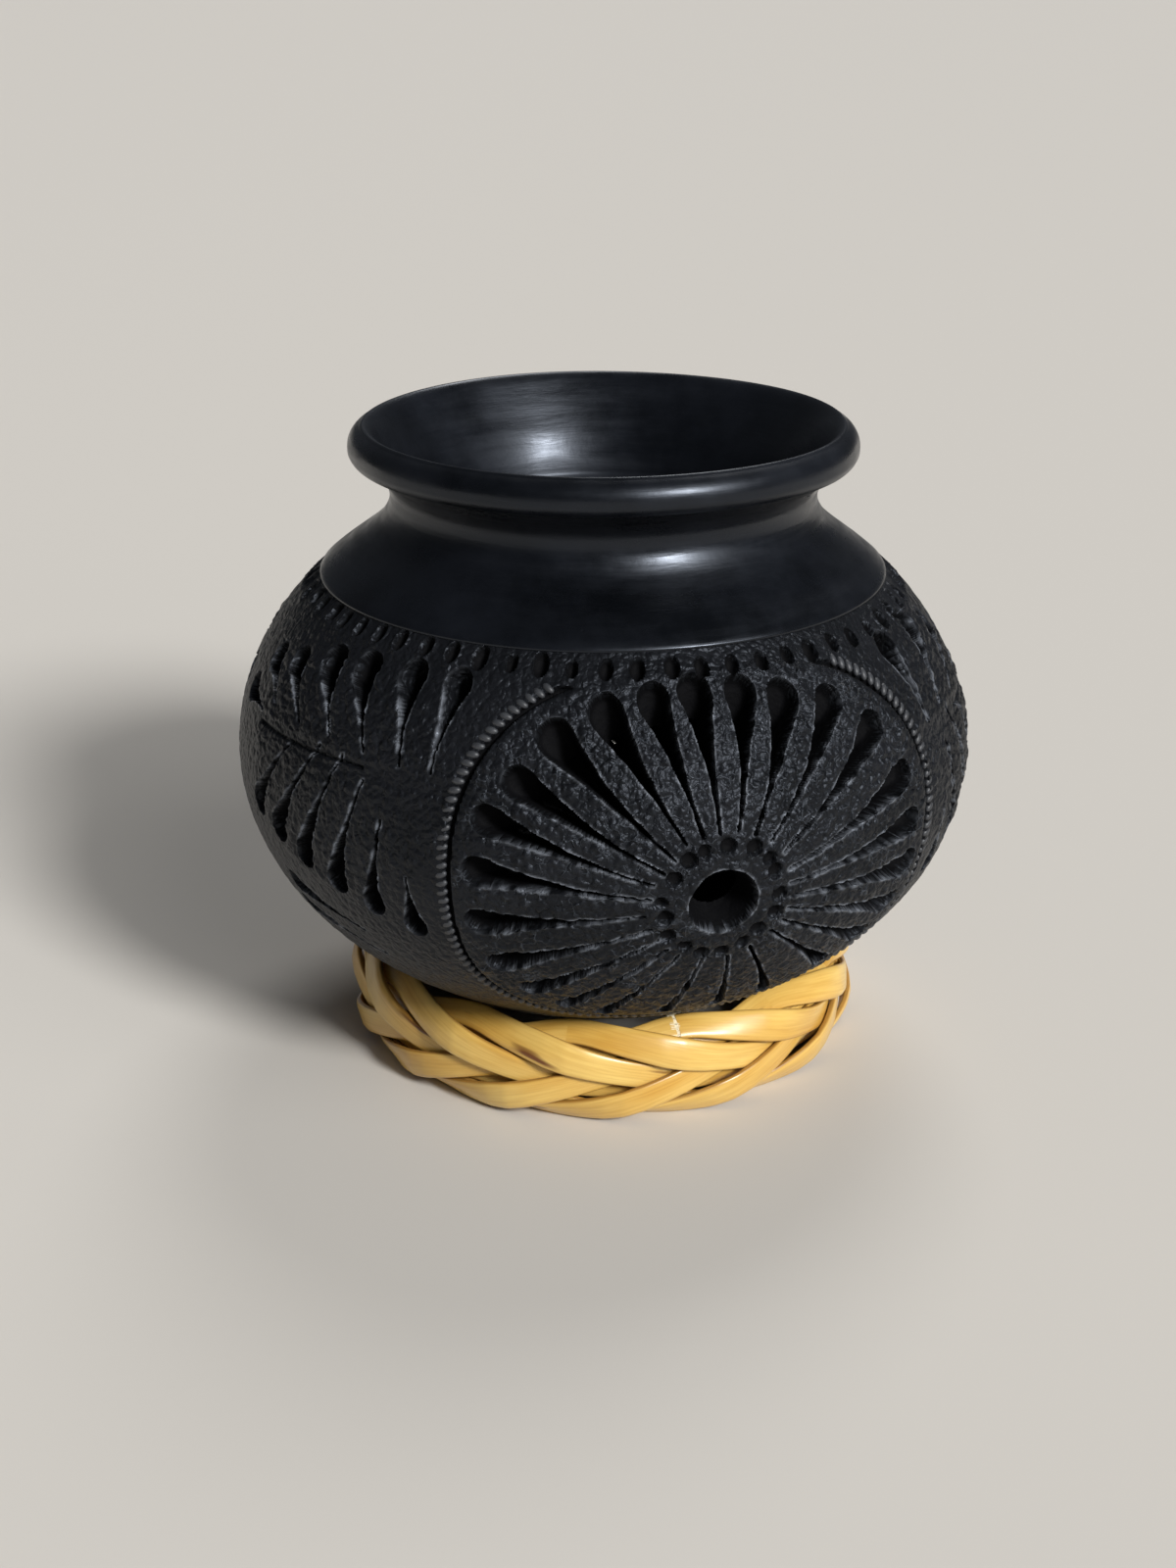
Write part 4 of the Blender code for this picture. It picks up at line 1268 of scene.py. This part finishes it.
def section_point(along, stand_off):
    """Radius and height in the C section, in mm."""
    bend = np.maximum(np.abs(along) - SECTION_STRAIGHT, 0.0) / SECTION_ROUND
    upright = np.minimum(np.abs(along), SECTION_STRAIGHT)
    reach = SECTION_ROUND + stand_off
    radius = RING_RADIUS - SECTION_ROUND + reach * np.cos(bend)
    return radius, RING_CENTRE_HEIGHT + np.sign(along) * (upright + reach * np.sin(bend))


def strip_turn(number, crossings):
    """The angle round the ring that a strip reaches, this many crossings along."""
    first = FIRST_TURN + (number - 1) * 2 * pi / (STRIPS * TURNS_PER_ROUND)
    return first + crossings * 2 * pi / CROSSINGS_ROUND


def strip_centre(crossings):
    """Height of a strip's middle in the plait, this many crossings after its top turn."""
    cycle = crossings % (2 * STRIPS)
    from_top = np.minimum(cycle, 2 * STRIPS - cycle)
    from_turn = np.minimum(from_top, STRIPS - from_top)
    softened = LEVEL * np.maximum(0.5 - from_turn, 0.0) ** 2
    side = np.where(from_top < STRIPS / 2, 1.0, -1.0)
    return PLAIT_REACH - LEVEL * from_top - side * softened


def strip_stand_off(crossings):
    """Distance from the plait's middle surface, with its bends rounded."""
    total = np.zeros(np.shape(crossings))
    for shift, weight in ((-1.0, 0.25), (0.0, 0.5), (1.0, 0.25)):
        total += weight * np.interp(
            (crossings + shift * SOFTENING) % STRIPS, STAND_OFF_AT, STAND_OFF)
    return LAYER * total


print(STRIPS, "strips,", CROSSINGS_ROUND, "crossings round for each")

# %% Seven strips
STRIP_HALF_WIDTH = 2.28
STRIP_THICKNESS = 1.02
STRIP_CROWN = 0.10
STEPS_PER_CROSSING = 14
SECTION_POINTS = 24
EDGE_SQUARENESS = (0.30, 0.62)  # powers of the section's outline, 1 would be an ellipse
STRIP_SHARP_EDGE = radians(60.0)
ENDED_STRIP = 2  # the one strip that has ends
END_GAP = 0.06  # of a crossing, between its ends
ENDS = (END_GAP / 2, CROSSINGS_ROUND - END_GAP / 2)
DARK_FROM = 0.88  # of the half-width, out from where an edge gets painted shade
GRAIN_SHIFT = (7.3, 3.1)  # cm, so that no two strips have the same grain
CM = 0.1  # centimetres in a millimetre


def strip_section():
    """The outline of a strip's section: places across it, and out from its middle."""
    turn = (np.arange(SECTION_POINTS) + 0.5) * 2 * pi / SECTION_POINTS
    across = np.sign(np.cos(turn)) * np.abs(np.cos(turn)) ** EDGE_SQUARENESS[0]
    out = np.sign(np.sin(turn)) * np.abs(np.sin(turn)) ** EDGE_SQUARENESS[1]
    crowned = STRIP_CROWN * (1.0 - across ** 2) * np.where(out > 0.0, 1.0, 0.3)
    return across, out * STRIP_THICKNESS / 2 + crowned


def build_strip(number):
    """One strip as points, faces and a UV for each corner of each face."""
    steps = CROSSINGS_ROUND * STEPS_PER_CROSSING
    closed = number != ENDED_STRIP
    crossings = np.arange(steps) / STEPS_PER_CROSSING if closed else np.linspace(*ENDS, steps)
    turn = strip_turn(number, crossings)
    across, out = strip_section()
    phase = hand.uniform(0.0, 2 * pi, 3)
    way = crossings * 2 * pi / CROSSINGS_ROUND
    width = 1.0 - 0.02 * (1.0 + np.sin(5 * way + phase[0]))
    width = width - 0.015 * (1.0 + np.sin(9 * way + phase[1]))
    drift = 0.06 * np.sin(7 * way + phase[2])
    along = (strip_centre(crossings) + drift)[:, None] + STRIP_HALF_WIDTH * width[:, None] * across
    radius, height = section_point(along, strip_stand_off(crossings)[:, None] + out)
    points = turned_to(turn[:, None], radius, np.maximum(height, 0.0)).reshape(-1, 3)
    faces, uvs = [], []
    length = RING_RADIUS * 2 * pi / steps * CM
    side = np.concatenate([[0.0], np.cumsum(np.hypot(
        np.diff(np.append(across, across[0])) * STRIP_HALF_WIDTH,
        np.diff(np.append(out, out[0]))))]) * CM
    for i in range(steps if closed else steps - 1):
        here, there = i * SECTION_POINTS, (i + 1) % steps * SECTION_POINTS
        for k in range(SECTION_POINTS):
            m = (k + 1) % SECTION_POINTS
            faces.append(np.array([here + k, there + k, there + m, here + m]))
            uvs += [(i * length, side[k]), ((i + 1) * length, side[k]),
                    ((i + 1) * length, side[k + 1]), (i * length, side[k + 1])]
    if not closed:
        last = (steps - 1) * SECTION_POINTS
        faces += [np.arange(SECTION_POINTS), last + np.arange(SECTION_POINTS)[::-1]]
        uvs += [(0.0, v) for v in side[:-1]] + [(steps * length, v) for v in side[-2::-1]]
    # Painted shade towards the strips' edges.
    edge_shade = 0.7 * np.tile(np.clip((np.abs(across) - DARK_FROM) / 0.1, 0.0, 1.0), steps)
    return points, faces, np.array(uvs) + number * np.array(GRAIN_SHIFT), {"edge_shade": edge_shade}


for number in range(1, STRIPS + 1):
    name = f"split_cane_{number}"
    points, faces, uvs, values = build_strip(number)
    mesh = mesh_from(name, points, faces, values)
    mesh.uv_layers.new(name="strip").data.foreach_set("uv", uvs.astype(np.float32).ravel())
    mesh.set_sharp_from_angle(angle=STRIP_SHARP_EDGE)
    finish_piece(name, mesh, (cane,), "ring_stand", "golden_cane", f"cane_strip_{number}")

# %% [markdown]
# ## The torn end
#
# One strip's ends meet at the front, on top of the ring. Split cane doesn't cut clean: it
# leaves pale slivers of its core. The beads' node tree makes them too, from a path across
# the end, with long thin beads set close together.

# %% Slivers at the cut ends
SLIVERS_END = 0.9  # of the strip's half-width, on both sides
SLIVERS_DOWN = 0.1  # under the strip's skin
SLIVER_PITCH = 0.16
SLIVER_SIZE = (0.13, 1.7, 0.12)
SLIVER_SWAY = 0.35

# The core has no skin and no varnish: the eye gets a pale, dry straw colour.
torn, tree, shader = new_material("torn_cane_core")
set_inputs(tree, shader, {"Base Color": linear("#eee0bd"), "Roughness": 0.75})
tree, sockets = bead_tree(torn)
sides = np.linspace(-SLIVERS_END, SLIVERS_END, 12) * STRIP_HALF_WIDTH
for number, place in enumerate(ENDS, start=1):
    skin = float(strip_stand_off(place)) + STRIP_THICKNESS / 2
    path, over = [turned_to(strip_turn(ENDED_STRIP, place), *section_point(
        strip_centre(place) + sides, skin + up)) for up in (-SLIVERS_DOWN, 1.0 - SLIVERS_DOWN)]
    slivers = beads_along(f"torn_end_{number}", path, over, tree, sockets, {
        "Pitch": SLIVER_PITCH * MM, "Lean": 0.0, "Sway": SLIVER_SWAY, "Seed": number,
        "Bead size": tuple(size * MM for size in SLIVER_SIZE)})
    finish_piece(f"torn_end_{number}", slivers, (torn,), "ring_stand", "golden_cane",
                 f"cane_strip_{ENDED_STRIP}")
